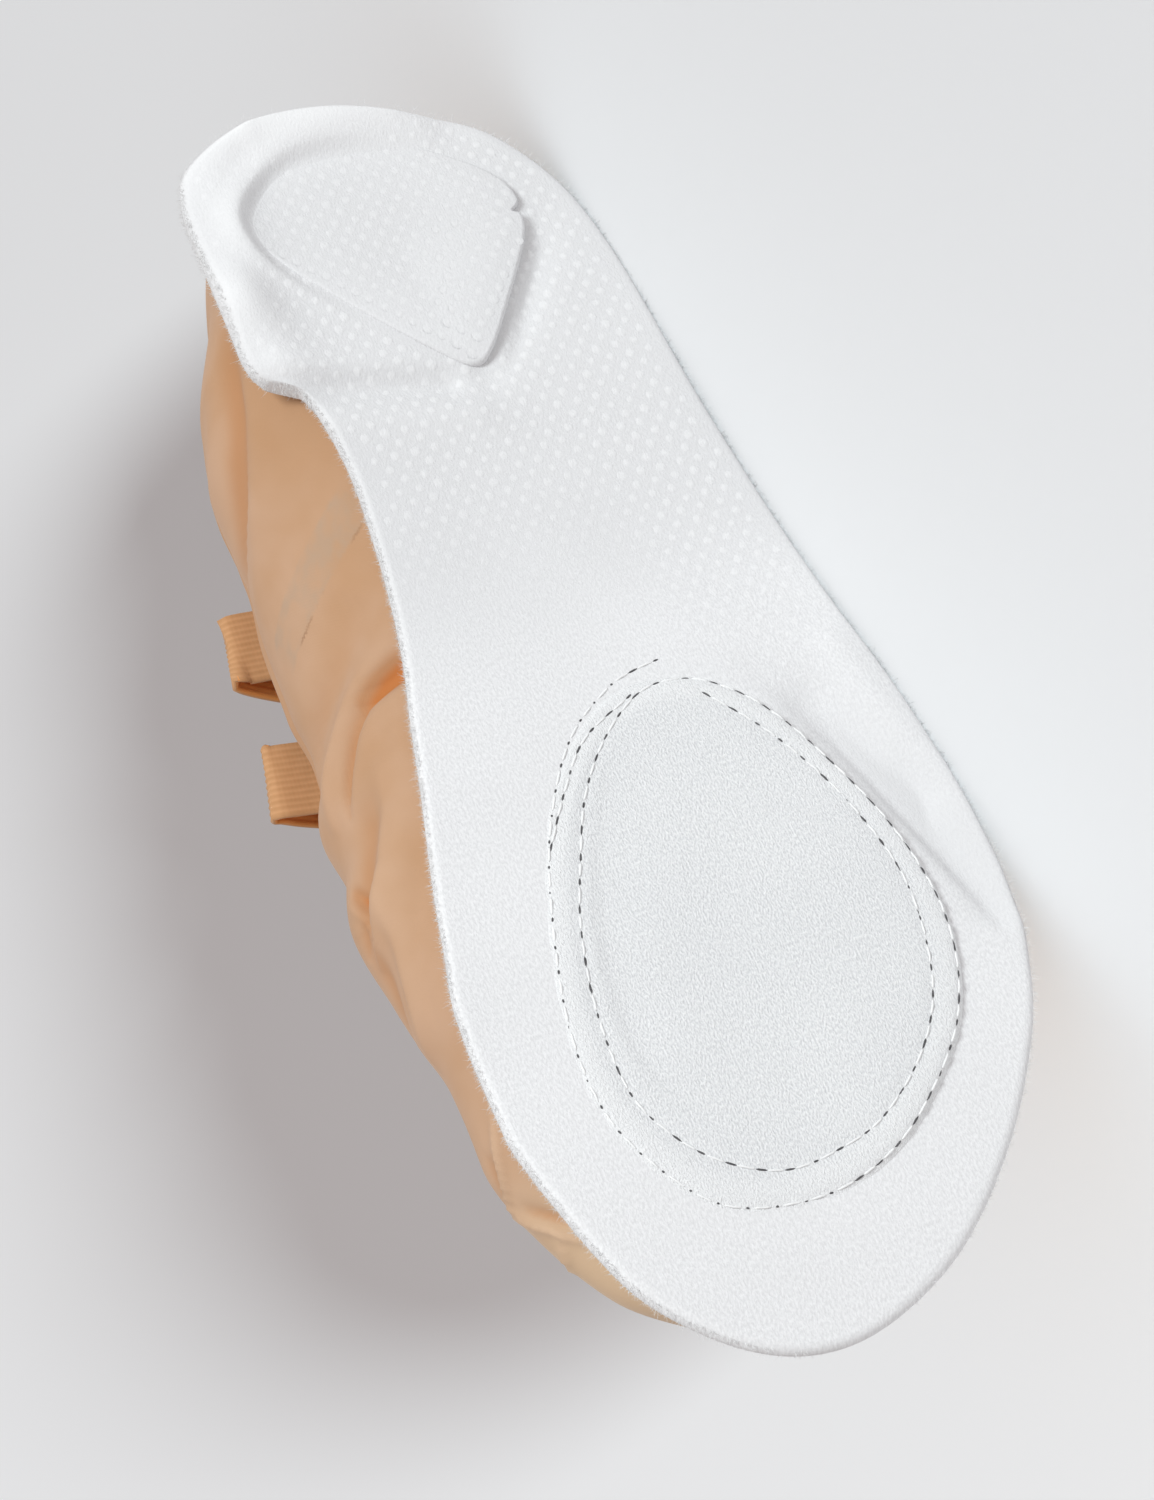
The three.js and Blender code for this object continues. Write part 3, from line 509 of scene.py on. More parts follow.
def lying_shift():
    """Shift that puts the sole's toe end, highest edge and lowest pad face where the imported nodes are."""
    angle = np.linspace(0, np.pi, CAD_STATIONS + 1)
    plans = [sole_edge(angle, side, 0.0) for side in (-1, 1)]
    edges = [np.stack([x, y, z], axis=-1) for x, y in plans for z in (sole_top(x), sole_under(x, y))]
    turned = np.concatenate(edges) @ TURN.T * METRE
    sole_low, sole_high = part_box("sole")
    x = sole_low[0] - turned[:, 0].min()
    z = sole_high[2] - turned[:, 2].max()
    step = 2 * np.pi * np.arange(EGG_STEPS) / EGG_STEPS
    length = np.hypot(*EGG_AXIS)
    along = np.array(EGG_AXIS) / length
    reach = length / 2 * (1 - EGG_SHARE * np.cos(step))
    spread = EGG_SHARE * EGG_HALF_WIDTH * np.sin(step) * (1 - EGG_TAPER * np.cos(step))
    px = EGG_FOOT[0] + along[0] * reach + along[1] * spread
    py = EGG_FOOT[1] + along[1] * reach - along[0] * spread
    pad = np.stack([px, py, sole_under(px, py) - PAD_GAP - PAD_THICK], axis=-1) @ TURN.T * METRE
    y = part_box("ball_pad")[0][1] - pad[:, 1].min()
    return np.array([x, y, z])


SHIFT = lying_shift()


def laid(points):
    """Points of the shoe frame as points in metres; what would sink into the floor is pressed flat."""
    world = np.asarray(points) @ TURN.T * METRE + SHIFT
    world[..., 2] = np.maximum(world[..., 2], 0)
    return world


def quads(rows, columns, wrap=False, start=0, flip=False):
    """Faces of a grid of points with that many rows and columns, closed over the columns if it wraps."""
    i = np.arange(rows - 1)[:, None]
    j = np.arange(columns if wrap else columns - 1)[None, :]
    k = (j + 1) % columns
    here, below = i * columns, (i + 1) * columns
    corners = np.broadcast_arrays(here + j, below + j, below + k, here + k)
    face = np.stack(corners, axis=-1).reshape(-1, 4) + start
    return face[:, ::-1] if flip else face


def repeat_faces(faces, count, size):
    """Faces of many copies of one small mesh that has that many points."""
    return (faces[None] + (np.arange(count) * size)[:, None, None]).reshape(-1, faces.shape[1])


def show(name, data):
    """Object of that name in the scene."""
    shown = bpy.data.objects.new(name, data)
    bpy.context.scene.collection.objects.link(shown)
    return shown


def piece(name, points, faces, material, slot, uv=None, merge=MERGE, outward=True, painted_light=None):
    """Object with its points laid on the floor; doubled points are merged and faces turned outwards if asked.

    The painted light, a number for each point that stands for a painted highlight or painted shade, is kept as
    an attribute named like that argument.
    """
    mesh = bpy.data.meshes.new(name)
    mesh.from_pydata(laid(np.reshape(points, (-1, 3))).tolist(), [], np.asarray(faces).tolist())
    if uv is not None:
        corner = np.empty(len(mesh.loops), dtype=np.int32)
        mesh.loops.foreach_get("vertex_index", corner)
        layer = mesh.uv_layers.new(name="flat")
        layer.data.foreach_set("uv", np.reshape(uv, (-1, 2))[corner].astype(np.float32).ravel())
    if painted_light is not None:
        kept = mesh.attributes.new("painted_light", "FLOAT", "POINT")
        kept.data.foreach_set("value", np.ravel(painted_light).astype(np.float32))
    if merge:
        work = bmesh.new()
        work.from_mesh(mesh)
        bmesh.ops.remove_doubles(work, verts=work.verts, dist=merge)
        bmesh.ops.dissolve_degenerate(work, edges=work.edges, dist=merge)
        if outward:
            bmesh.ops.recalc_face_normals(work, faces=work.faces)
        work.to_mesh(mesh)
        work.free()
    mesh.polygons.foreach_set("use_smooth", np.ones(len(mesh.polygons), dtype=bool))
    mesh.materials.append(material)
    shown = show(name, mesh)
    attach(shown, "root")
    return shown


def smooth_path(points, per_span=24, closed=False):
    """Smooth curve through points: spans are cubics whose slopes are half the step between the neighbours."""
    points = np.asarray(points, dtype=float)
    if closed:
        around = np.concatenate([points[-1:], points, points[:2]])
    else:
        around = np.concatenate([2 * points[:1] - points[1:2], points, 2 * points[-1:] - points[-2:-1]])
    p0, p1, p2, p3 = around[:-3, None], around[1:-2, None], around[2:-1, None], around[3:, None]
    u = (np.arange(per_span) / per_span)[None, :, None]
    curve = 0.5 * (2 * p1 + (p2 - p0) * u + (2 * p0 - 5 * p1 + 4 * p2 - p3) * u ** 2
                   + (3 * p1 - p0 - 3 * p2 + p3) * u ** 3)
    curve = curve.reshape(-1, points.shape[1])
    return curve if closed else np.concatenate([curve, points[-1:]])


def arc_lengths(path):
    """Length along a path up to each of its points."""
    return np.concatenate([[0], np.cumsum(np.linalg.norm(np.diff(path, axis=0), axis=1))])


def at_length(path, lengths, where):
    """Points of a path at given lengths along it."""
    return np.stack([np.interp(where, lengths, path[:, k]) for k in range(path.shape[1])], axis=-1)


def unit(vectors):
    """Vectors of length one; a vector of no length stays as it is."""
    return vectors / np.maximum(np.linalg.norm(vectors, axis=-1, keepdims=True), 1e-9)


def surface_normals(grid):
    """Unit normals of a grid of points: the cross product of its two rates of change."""
    return unit(np.cross(np.gradient(grid, axis=1), np.gradient(grid, axis=0)))


def grid_area(grid):
    """Area of a grid of points: the sum of the sizes of the cross products of its steps."""
    down = np.diff(grid, axis=0)[:, :-1]
    over = np.diff(grid, axis=1)[:-1]
    return np.linalg.norm(np.cross(down, over), axis=-1).sum()


def smooth_step(low, high, value):
    """Soft step from 0 at low to 1 at high."""
    u = np.clip((value - low) / (high - low), 0, 1)
    return u * u * (3 - 2 * u)


# Shader maths

class Wire:
    """Output of a shader node. Sums, differences and products of wires and numbers add Math nodes."""

    def __init__(self, tree, socket):
        self.tree = tree
        self.socket = socket

    def node(self, kind, settings=None, inputs=None, out=0):
        """Adds a node: its settings come first, then its sockets, by name or number, as values or wires."""
        made = self.tree.nodes.new(kind)
        for name, value in (settings or {}).items():
            setattr(made, name, value)
        for key, value in (inputs or {}).items():
            if isinstance(value, Wire):
                self.tree.links.new(value.socket, made.inputs[key])
            else:
                made.inputs[key].default_value = value
        return Wire(self.tree, made.outputs[out])

    def maths(self, operation, *values):
        """Math node over some values."""
        return self.node("ShaderNodeMath", {"operation": operation}, dict(enumerate(values)))

    def of(self, operation):
        """Math node over this value alone."""
        return self.maths(operation, self)

    def mix(self, low, high):
        """Colour that goes from low to high with this value."""
        return self.node("ShaderNodeMix", {"data_type": "RGBA"}, {0: self, 6: low, 7: high}, out=2)

    def ramp(self, low, high):
        """Soft step of this value from 0 at low to 1 at high."""
        return self.node("ShaderNodeMapRange", {"interpolation_type": "SMOOTHSTEP"},
                         {"Value": self, "From Min": low, "From Max": high})

    def __add__(self, other):
        return self.maths("ADD", self, other)

    __radd__ = __add__

    def __sub__(self, other):
        return self.maths("SUBTRACT", self, other)

    def __rsub__(self, other):
        return self.maths("SUBTRACT", other, self)

    def __mul__(self, other):
        return self.maths("MULTIPLY", self, other)

    __rmul__ = __mul__


# Materials

SPECULAR = 0.25
SHEEN_ROUGHNESS = 0.5
TAN_SHEEN = (1.0, 0.86, 0.72, 1)


def cloth(name, roughness, sheen=0.0, sheen_tint=(1, 1, 1, 1)):
    """New material, its shader with constants on its sockets, and a first wire to grow nodes from."""
    material = bpy.data.materials.new(name)
    material.use_nodes = True
    tree = material.node_tree
    shader = tree.nodes["Principled BSDF"]
    constants = {"Roughness": roughness, "Specular IOR Level": SPECULAR, "Sheen Weight": sheen,
                 "Sheen Roughness": SHEEN_ROUGHNESS, "Sheen Tint": sheen_tint}
    for socket, value in constants.items():
        shader.inputs[socket].default_value = value
    return material, shader, Wire(tree, None)


def finish_cloth(shader, wire, shade, height, strength, distance):
    """Links a colour and a bump height to the shader."""
    wire.tree.links.new(shade.socket, shader.inputs["Base Color"])
    bump = wire.node("ShaderNodeBump", {}, {"Height": height, "Strength": strength, "Distance": distance})
    wire.tree.links.new(bump.socket, shader.inputs["Normal"])


def colour(r, g, b):
    """Opaque colour."""
    return (r, g, b, 1.0)


def object_noise(wire, scale, detail):
    """Noise over the object's own coordinates, with its number of grains per metre."""
    place = wire.node("ShaderNodeTexCoord", out=3)
    return wire.node("ShaderNodeTexNoise", {}, {"Vector": place, "Scale": scale, "Detail": detail,
                                                "Roughness": 0.55})


def flat_place(wire):
    """The two coordinates of the flat cloth, in centimetres along and across."""
    place = wire.node("ShaderNodeUVMap", {"uv_map": "flat"})
    return tuple(wire.node("ShaderNodeSeparateXYZ", {}, {"Vector": place}, out=axis) for axis in (0, 1))


def stretched_noise(wire, along, across, detail):
    """Noise on the flat cloth with its own number of grains per centimetre along and across."""
    u, v = flat_place(wire)
    joined = wire.node("ShaderNodeCombineXYZ", {}, {"X": u * along, "Y": v * across})
    return wire.node("ShaderNodeTexNoise", {}, {"Vector": joined, "Scale": 1.0, "Detail": detail,
                                                "Roughness": 0.6})


def painted_light_of(wire):
    """Painted highlight and painted shade that a piece keeps for each of its points."""
    return wire.node("ShaderNodeAttribute", {"attribute_name": "painted_light"}, out=2)


# White knit: where its painted shade at the heel gives way towards the ball and towards the heel's rim, in
# centimetres along the foot, contrast of its grains on the heel and how much more on the ball, range of the
# grains, middle tone, and shares of the drift, of the heel's painted shade and of the painted highlight
HEEL_SHADE = (8.5, 12.0)
HEEL_RIM_UNSHADED = (0.4, 1.6)
KNIT_CONTRAST = 0.18
KNIT_BALL_CONTRAST = 0.44
KNIT_GRAINS = (0.33, 0.67)
KNIT_TONE = 0.31
KNIT_DRIFT = 0.38
KNIT_HEEL_SHADE = 0.32
KNIT_HIGHLIGHT = 0.8


def knit_white(name, dark, light, highlight, grain_along, grain_across, strength):
    """White brushed knit: irregular fine grains light on dark, a slow drift of tone, and fibre bump.

    It is painted with a highlight where the piece's painted light is above nothing, on raised dots, on ridges
    and between sewn rows, with painted shade where it is below nothing, and with painted shade at the heel.
    """
    material, shader, wire = cloth(name, roughness=0.95, sheen=0.12)
    grain = stretched_noise(wire, grain_along, grain_across, detail=4.0)
    drift = object_noise(wire, scale=24.0, detail=2.0)
    u, _ = flat_place(wire)
    # Painted shade: the knit is darker on the heel, but not on the heel's rim
    ball = u.ramp(*HEEL_SHADE)
    heel_shade = (1 - ball) * u.ramp(*HEEL_RIM_UNSHADED)
    contrast = ball * KNIT_BALL_CONTRAST + KNIT_CONTRAST
    tone = (grain.ramp(*KNIT_GRAINS) - 0.5) * contrast + KNIT_TONE + drift * KNIT_DRIFT - heel_shade * KNIT_HEEL_SHADE
    painted_light = painted_light_of(wire)
    # Painted highlight where the piece's painted light is above nothing, painted shade where it is below
    # nothing
    highlighted = (painted_light * KNIT_HIGHLIGHT).mix(tone.mix(dark, light), highlight)
    shaded = (painted_light * -1.0).mix(highlighted, dark)
    finish_cloth(shader, wire, shaded, grain, strength, distance=0.0006)
    return material


def plain_cloth(name, dark, light, tone_scale, grain_scale, detail, strength, distance, **surface):
    """Plain material: one noise goes from its dark to its light colour, another one raises a fine bump."""
    material, shader, wire = cloth(name, **surface)
    tone = object_noise(wire, tone_scale, detail)
    grain = object_noise(wire, grain_scale, detail)
    finish_cloth(shader, wire, tone.mix(dark, light), grain, strength, distance)
    return material


# Canvas: waves of the weave per centimetre, the two colours of its drift, the colours of the painted light
# on toe and tip, of sheer tape and its edge line, and of a fold's painted highlight, warm painted shade and
# deeper painted shade
WEAVE_RATE = 200.0
CANVAS_DARK = colour(0.475, 0.27, 0.145)
CANVAS_LIGHT = colour(0.53, 0.33, 0.21)
CANVAS_TOE_HIGHLIGHT = colour(0.60, 0.43, 0.31)
CANVAS_TIP_HIGHLIGHT = colour(0.66, 0.50, 0.32)
SHEER_TAPE = colour(0.42, 0.30, 0.21)
TAPE_LINE = colour(0.25, 0.13, 0.065)
FOLD_HIGHLIGHT = colour(0.62, 0.42, 0.28)
FOLD_SHADE = colour(0.46, 0.215, 0.09)
FOLD_DEEP_SHADE = colour(0.50, 0.175, 0.045)

# Sheer tape: raggedness in centimetres, fade of its edge in half widths, of its foot and beyond its head in
# centimetres; place of the edge line in half widths, its softness, its start and its end before the head in
# centimetres
TAPE_RAGGED = 0.12
TAPE_EDGE_FADE = (0.80, 1.05)
TAPE_FOOT_FADE = (-0.1, 0.2)
TAPE_HEAD_FADE = 0.35
TAPE_LINE_AT = 0.98
TAPE_LINE_SOFT = (0.008, 0.035)
TAPE_LINE_START = (0.0, 0.1)
TAPE_LINE_END = 0.5


def tape_shares(u, v, grain):
    """Shares of the sheer tape and of its dark edge line, by the place along and across its middle line."""
    foot_u, foot_v = (value / CENTIMETRE for value in TAPE_FOOT)
    run_u, run_v = ((head - foot) / CENTIMETRE for head, foot in zip(TAPE_HEAD, TAPE_FOOT))
    run = math.hypot(run_u, run_v)
    half = TAPE_HALF / CENTIMETRE
    along = (u - foot_u) * (run_u / run) + (v - foot_v) * (run_v / run)
    across = (u - foot_u) * (run_v / run) - (v - foot_v) * (run_u / run)
    ragged = across + (grain - 0.5) * TAPE_RAGGED
    inside = ragged.of("ABSOLUTE").ramp(*(half * share for share in TAPE_EDGE_FADE))
    on_tape = (1 - inside) * along.ramp(*TAPE_FOOT_FADE) * (1 - along.ramp(run, run + TAPE_HEAD_FADE))
    off_line = (ragged - half * TAPE_LINE_AT).of("ABSOLUTE").ramp(*TAPE_LINE_SOFT)
    on_line = (1 - off_line) * along.ramp(*TAPE_LINE_START) * (1 - along.ramp(run - TAPE_LINE_END, run))
    return on_tape, on_line


def canvas_tan():
    """Tan stretch canvas: fine weave, drift of tone, painted light on the toe, sheer tape, and painted
    highlights and shade in the folds.
    """
    material, shader, wire = cloth("canvas_tan", roughness=0.78, sheen=0.22, sheen_tint=TAN_SHEEN)
    u, v = flat_place(wire)
    weave = (u * WEAVE_RATE).of("SINE") * (v * WEAVE_RATE).of("SINE")
    drift = object_noise(wire, scale=38.0, detail=3.0)
    grain = stretched_noise(wire, along=22.0, across=34.0, detail=2.0)
    patchy = object_noise(wire, scale=160.0, detail=2.0).ramp(0.46, 0.60)
    lumpy = object_noise(wire, scale=210.0, detail=2.0).ramp(0.36, 0.66)
    on_tape, on_line = tape_shares(u, v, grain)
    painted_light = painted_light_of(wire)
    shade = drift.ramp(0.3, 0.7).mix(CANVAS_DARK, CANVAS_LIGHT)
    # Each layer lies over the ones before it: its share and its colour
    layers = (
        # The first two layers are painted light on the toe and on its tip
        (u.ramp(*TOE_HIGHLIGHT) * 0.4, CANVAS_TOE_HIGHLIGHT),
        (u.ramp(*TIP_HIGHLIGHT) * 0.5, CANVAS_TIP_HIGHLIGHT),
        (on_tape * (0.12 + 0.5 * lumpy), SHEER_TAPE),
        (on_line * patchy * 0.8, TAPE_LINE),
        # The last three layers are the folds' painted light: a highlight on ridges, warm shade in creases,
        # deeper shade in the deepest
        ((0 - painted_light).ramp(0.0, 0.3) * 0.5, FOLD_HIGHLIGHT),
        (painted_light.ramp(0.02, 0.55) * 0.75, FOLD_SHADE),
        (painted_light.ramp(0.55, 1.2) * 0.95, FOLD_DEEP_SHADE),
    )
    for share, over in layers:
        shade = share.mix(shade, over)
    finish_cloth(shader, wire, shade, weave * 0.25 + grain * 0.6, strength=0.10, distance=0.0004)
    return material


# Elastic: its two colours, the colour of the warm painted light on its foot side, which lies in shade inside
# the loop, waves of the crimp per centimetre, and the shares of cords, crimp and grain in its tone and in its
# bump
ELASTIC_DARK = colour(0.46, 0.235, 0.10)
ELASTIC_LIGHT = colour(0.64, 0.355, 0.18)
ELASTIC_FOOT_LIGHT = colour(0.90, 0.36, 0.09)
CRIMP_RATE = 90.0
ELASTIC_TONE = (0.4, 0.03, 0.5)
ELASTIC_BUMP = (0.4, 0.1, 0.3)


def elastic_tan():
    """Ribbed elastic: cords along the length with a fine crimp across them, darker between the cords. Its foot
    side, in shade inside the loop, gets warm painted light.
    """
    material, shader, wire = cloth("elastic_tan", roughness=0.75, sheen=0.15, sheen_tint=TAN_SHEEN)
    u, v = flat_place(wire)
    cords = (v * (STRAP_RIBS * 2 * math.pi)).of("COSINE") * 0.5 + 0.5
    crimp = (u * CRIMP_RATE).of("SINE") * 0.5 + 0.5
    grain = object_noise(wire, scale=500.0, detail=2.0)
    tone, height = (cords * a + crimp * b + grain * c for a, b, c in (ELASTIC_TONE, ELASTIC_BUMP))
    # Warm painted light on the foot side, which lies in shade inside the loop
    shade = (painted_light_of(wire) * 0.8).mix(tone.mix(ELASTIC_DARK, ELASTIC_LIGHT), ELASTIC_FOOT_LIGHT)
    finish_cloth(shader, wire, shade, height, strength=0.30, distance=0.0003)
    return material


SOLE_KNIT = knit_white("sole_knit", dark=colour(0.68, 0.676, 0.682), light=colour(0.86, 0.856, 0.862),
                       highlight=colour(0.87, 0.866, 0.868), grain_along=14.0, grain_across=24.0, strength=0.30)
PAD_KNIT = knit_white("pad_knit", dark=colour(0.67, 0.677, 0.692), light=colour(0.99, 0.99, 0.99),
                      highlight=colour(0.91, 0.908, 0.908), grain_along=18.0, grain_across=31.0, strength=0.75)
THREAD = plain_cloth("sewing_thread", dark=colour(0.80, 0.80, 0.80), light=colour(0.90, 0.90, 0.895),
                     tone_scale=2600.0, grain_scale=2600.0, detail=1.0, strength=0.3, distance=0.0002,
                     roughness=0.7, sheen=0.1)
# Needle holes: near-black tubes of painted shade, where the holes and the thread sunk in them lie in shadow
NEEDLE_HOLE_SHADE = plain_cloth("needle_hole_shade", dark=colour(0.035, 0.034, 0.036), light=colour(0.16, 0.155, 0.16),
                          tone_scale=1500.0, grain_scale=1500.0, detail=1.0, strength=0.2, distance=0.0002,
                          roughness=0.9)
CANVAS = canvas_tan()
BINDING_TAPE = plain_cloth("binding_tape", dark=colour(0.47, 0.26, 0.135), light=colour(0.52, 0.31, 0.185),
                           tone_scale=60.0, grain_scale=900.0, detail=2.0, strength=0.25, distance=0.0003,
                           roughness=0.8, sheen=0.2, sheen_tint=TAN_SHEEN)
ELASTIC = elastic_tan()
LINING = plain_cloth("sock_lining", dark=colour(0.66, 0.50, 0.36), light=colour(0.74, 0.60, 0.46),
                     tone_scale=30.0, grain_scale=700.0, detail=2.0, strength=0.25, distance=0.0003,
                     roughness=0.9, sheen=0.15)


# Folds of the cloth

def fold_relief(folds, x, y, taper=CANVAS_FOLD_TAPER):
    """Push and painted light of the folds at points of a cloth.

    Each fold is its rise times a bell of the distance to its path, with its own width on each side, narrowing
    along the path, times a sine that tapers it to nothing at both ends, raised to the power of the taper.
    """
    flat = np.stack([np.ravel(x), np.ravel(y)], axis=-1)
    pick = np.arange(len(flat))
    push = np.zeros(len(flat))
    painted_light = np.zeros(len(flat))
    for rise, left, right, painted_amount, path in folds:
        line = smooth_path(path, FOLD_STEPS)
        reached = arc_lengths(line)
        along = np.gradient(line, axis=0)
        off = flat[:, None] - line[None]
        away = np.hypot(off[..., 0], off[..., 1])
        near = away.argmin(axis=1)
        gap = off[pick, near]
        turn = along[near, 0] * gap[:, 1] - along[near, 1] * gap[:, 0]
        share = reached[near] / reached[-1]
        width = np.where(turn > 0, left, right) * (FOLD_NARROWS - share)
        bell = np.exp(-((away[pick, near] / width) ** 2)) * np.sin(np.pi * share) ** taper
        push = push + rise * bell
        painted_light = painted_light + painted_amount * bell
    return np.reshape(push, np.shape(x)), np.reshape(painted_light, np.shape(x))


# Sole and pads

# Sole: radius of its cut edge, stations along it, columns under and over it, steps round its edge, rise over
# the camber at which a ridge's painted highlight is full, and the painted light of its edge and top, which
# lightens the edge's shade
EDGE_ROUND = 1.25
SOLE_STATIONS = 301
UNDER_COLUMNS = 150
TOP_COLUMNS = 30
EDGE_STEPS = 8
RIDGE_FULL = 5.0
EDGE_PAINTED_LIGHT = 0.2


def sheet_ring(under_columns, top_columns, rounding):
    """Ring of columns round a sheet: share across, distance inside the outline and share of the way down.

    The under face goes from outer to inner edge, then round the edge, back over the top and round again.
    """
    turn = np.linspace(0, np.pi, EDGE_STEPS + 1)[1:-1]
    bend = rounding * (1 - np.sin(turn))
    down = (1 + np.cos(turn)) / 2
    under = np.linspace(0, 1, under_columns)
    top = np.linspace(1, 0, top_columns)
    share = np.concatenate([under, np.ones_like(turn), top, np.zeros_like(turn)])
    inset = np.concatenate([np.full(under_columns, rounding), bend, np.full(top_columns, rounding), bend])
    depth = np.concatenate([np.ones(under_columns), down, np.zeros(top_columns), down[::-1]])
    return share, inset, depth


def sheet_points(stations, ring, inset, lip_share, tuck_share, top_of, under_of):
    """Closed sheet: at each station the outline drawn in by each column's inset, from outer to inner edge."""
    share, bend, depth = ring
    angle = np.linspace(0, np.pi, stations)[:, None]
    cut = section(angle, inset + bend)
    inner = cut["mid"] + cut["half"] + lip_share * sole_lip(angle) - tuck_share * cut["fade"] * cut["tuck"]
    outer = cut["mid"] - cut["half"]
    y = outer + (inner - outer) * share
    x = cut["x"] + 0 * y
    z = top_of(x, y) * (1 - depth) + under_of(x, y) * depth
    return np.stack([x, y, z], axis=-1)


def flat_uv(points):
    """Flat cloth coordinates: x and y in centimetres."""
    return points[..., :2] / CENTIMETRE


def ridge_highlight(x, y):
    """Painted highlight of the cloth on the sole's ridges: its rise over the camber as a share of the rise of
    full highlight.
    """
    return np.clip((camber(x / SOLE_LENGTH) - sole_face(x, y)) / RIDGE_FULL, 0, 1)


def trough_shade(x, y):
    """Painted shade in the sole's folds, as painted light below nothing: the second answer of fold_relief."""
    return fold_relief(SOLE_FOLDS, x, y, SOLE_FOLD_TAPER)[1]


def make_sole():
    """Sole: a closed sheet over the outline with its lip, with painted highlights on ridges and edge and
    painted shade in its trough.
    """
    ring = sheet_ring(UNDER_COLUMNS, TOP_COLUMNS, EDGE_ROUND)
    points = sheet_points(SOLE_STATIONS, ring, inset=0.0, lip_share=1.0, tuck_share=0.0,
                          top_of=lambda x, y: sole_top(x), under_of=sole_face)
    faces = quads(SOLE_STATIONS, len(ring[0]), wrap=True)
    x, y = points[..., 0], points[..., 1]
    # Painted light: highlights on ridges, edge and top, and painted shade in the trough beside the ball pad
    painted_light = np.maximum(ridge_highlight(x, y), EDGE_PAINTED_LIGHT * (ring[2] < 1)) + trough_shade(x, y)
    sole = piece("sole_sheet", points, faces, SOLE_KNIT, "sole_mesh", flat_uv(points), painted_light=painted_light)
    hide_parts("sole")
    return sole


def plan_path(rows, per_span=24, closed=False):
    """Smooth path through a table's places in plan."""
    return smooth_path(np.stack([rows["x"], rows["y"]], axis=-1), per_span, closed)


STITCH_PATH = plan_path(STITCH_SPIRAL)
OVERLAP_PATH = plan_path(STITCH_OVERLAP)
BALL_RIM = plan_path(BALL_PAD_RIM, BALL_RIM_STEPS, closed=True)
BALL_MIDDLE = BALL_RIM.mean(axis=0)
HEEL_RIM = plan_path(HEEL_PAD_RIM, HEEL_RIM_STEPS, closed=True)
HEEL_PROUD = smooth_path(HEEL_PAD_RIM["proud"][:, None], HEEL_RIM_STEPS, closed=True)[:, 0]

# Sewn groove: depth, width, every how many points of the rows it is measured to, and in how many parts
GROOVE_DEPTH = 0.22
GROOVE_WIDTH = 1.0
GROOVE_SKIP = 3
GROOVE_PARTS = 12

# Ball pad: crown, height over the sole on its inner and outer side and the y between the two; as shares of
# the way to its rim its rings, its shoulder and its turn into the sole; depth of that turn and of the rim in
# the sole; and the band between the sewn rows and the strength of the painted highlight on it
PAD_CROWN = 0.55
PAD_PROUD_INNER = 0.4
PAD_PROUD_OUTER = 1.25
PAD_PROUD_TURNS = (12.0, -18.0)
PAD_RINGS = np.concatenate([np.linspace(0.04, 0.97, 66), np.linspace(0.975, 1.0, 10)])
PAD_SHOULDER = (0.955, 1.0)
PAD_TURN_DOWN = (0.985, 1.0)
PAD_SINK = 0.35
PAD_BACK = 0.4
PAD_BAND = (0.86, 0.91)
PAD_BAND_HIGHLIGHT = 0.5

# Dip of the ball pad beside its inner row of stitches, in the columns of the sole's folds
PAD_DIP = (
    (-0.55, 2.2, 6.0, 0.0, ((124, -6), (128, 2), (134, 7.6), (144, 13.4), (156, 18.6), (170, 22), (184, 22),
                            (196, 15))),
)


def groove(x, y):
    """Depth of the sewn groove: a bell of the distance to the nearest stitch row."""
    rows = np.concatenate([STITCH_PATH[::GROOVE_SKIP], OVERLAP_PATH[::GROOVE_SKIP]])
    flat = np.stack([np.ravel(x), np.ravel(y)], axis=-1)
    nearest = np.full(len(flat), np.inf)
    for part in np.array_split(rows, GROOVE_PARTS):
        away = np.hypot(flat[:, None, 0] - part[None, :, 0], flat[:, None, 1] - part[None, :, 1])
        nearest = np.minimum(nearest, away.min(axis=1))
    return np.reshape(GROOVE_DEPTH * np.exp(-((nearest / GROOVE_WIDTH) ** 2)), np.shape(x))


def ball_face(x, y, ring):
    """Ball pad's face: proud of the sole, crowned to the middle, sunk at its rim, in dip and grooves."""
    height = PAD_PROUD_INNER + (PAD_PROUD_OUTER - PAD_PROUD_INNER) * smooth_step(*PAD_PROUD_TURNS, y)
    proud = height * (1 - smooth_step(*PAD_SHOULDER, ring)) + PAD_CROWN * (1 - ring ** 2)
    sunk = PAD_SINK * smooth_step(*PAD_TURN_DOWN, ring) - fold_relief(PAD_DIP, x, y, SOLE_FOLD_TAPER)[0]
    return sole_face(x, y) - proud + sunk + groove(x, y)


def pad_points(rim, middle, rings, face):
    """Points of a pad, straight from its middle to each point of its rim, and their shares of that way.

    The height is the face's, from the place in plan and the share.
    """
    share = np.concatenate([[0.0], rings])[:, None] + np.zeros(len(rim))
    plan = middle + share[..., None] * (rim - middle)
    z = face(plan[..., 0], plan[..., 1], share)
    return np.concatenate([plan, z[..., None]], axis=-1), share


def make_ball_pad():
    """Ball pad: its face, and a rim that reaches into the sole; the band of the sewn rows gets a painted
    highlight.
    """
    points, share = pad_points(BALL_RIM, BALL_MIDDLE, PAD_RINGS, ball_face)
    points = np.concatenate([points, points[-1:] + np.array([0, 0, PAD_BACK])])
    faces = quads(len(points), len(BALL_RIM), wrap=True)
    # Painted highlight on the band between the sewn rows
    painted_light = PAD_BAND_HIGHLIGHT * smooth_step(*PAD_BAND, np.concatenate([share, share[-1:]]))
    pad = piece("ball_pad_patch", points, faces, PAD_KNIT, "pad_mesh", flat_uv(points), outward=False,
                painted_light=painted_light)
    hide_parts("ball_pad")
    return pad


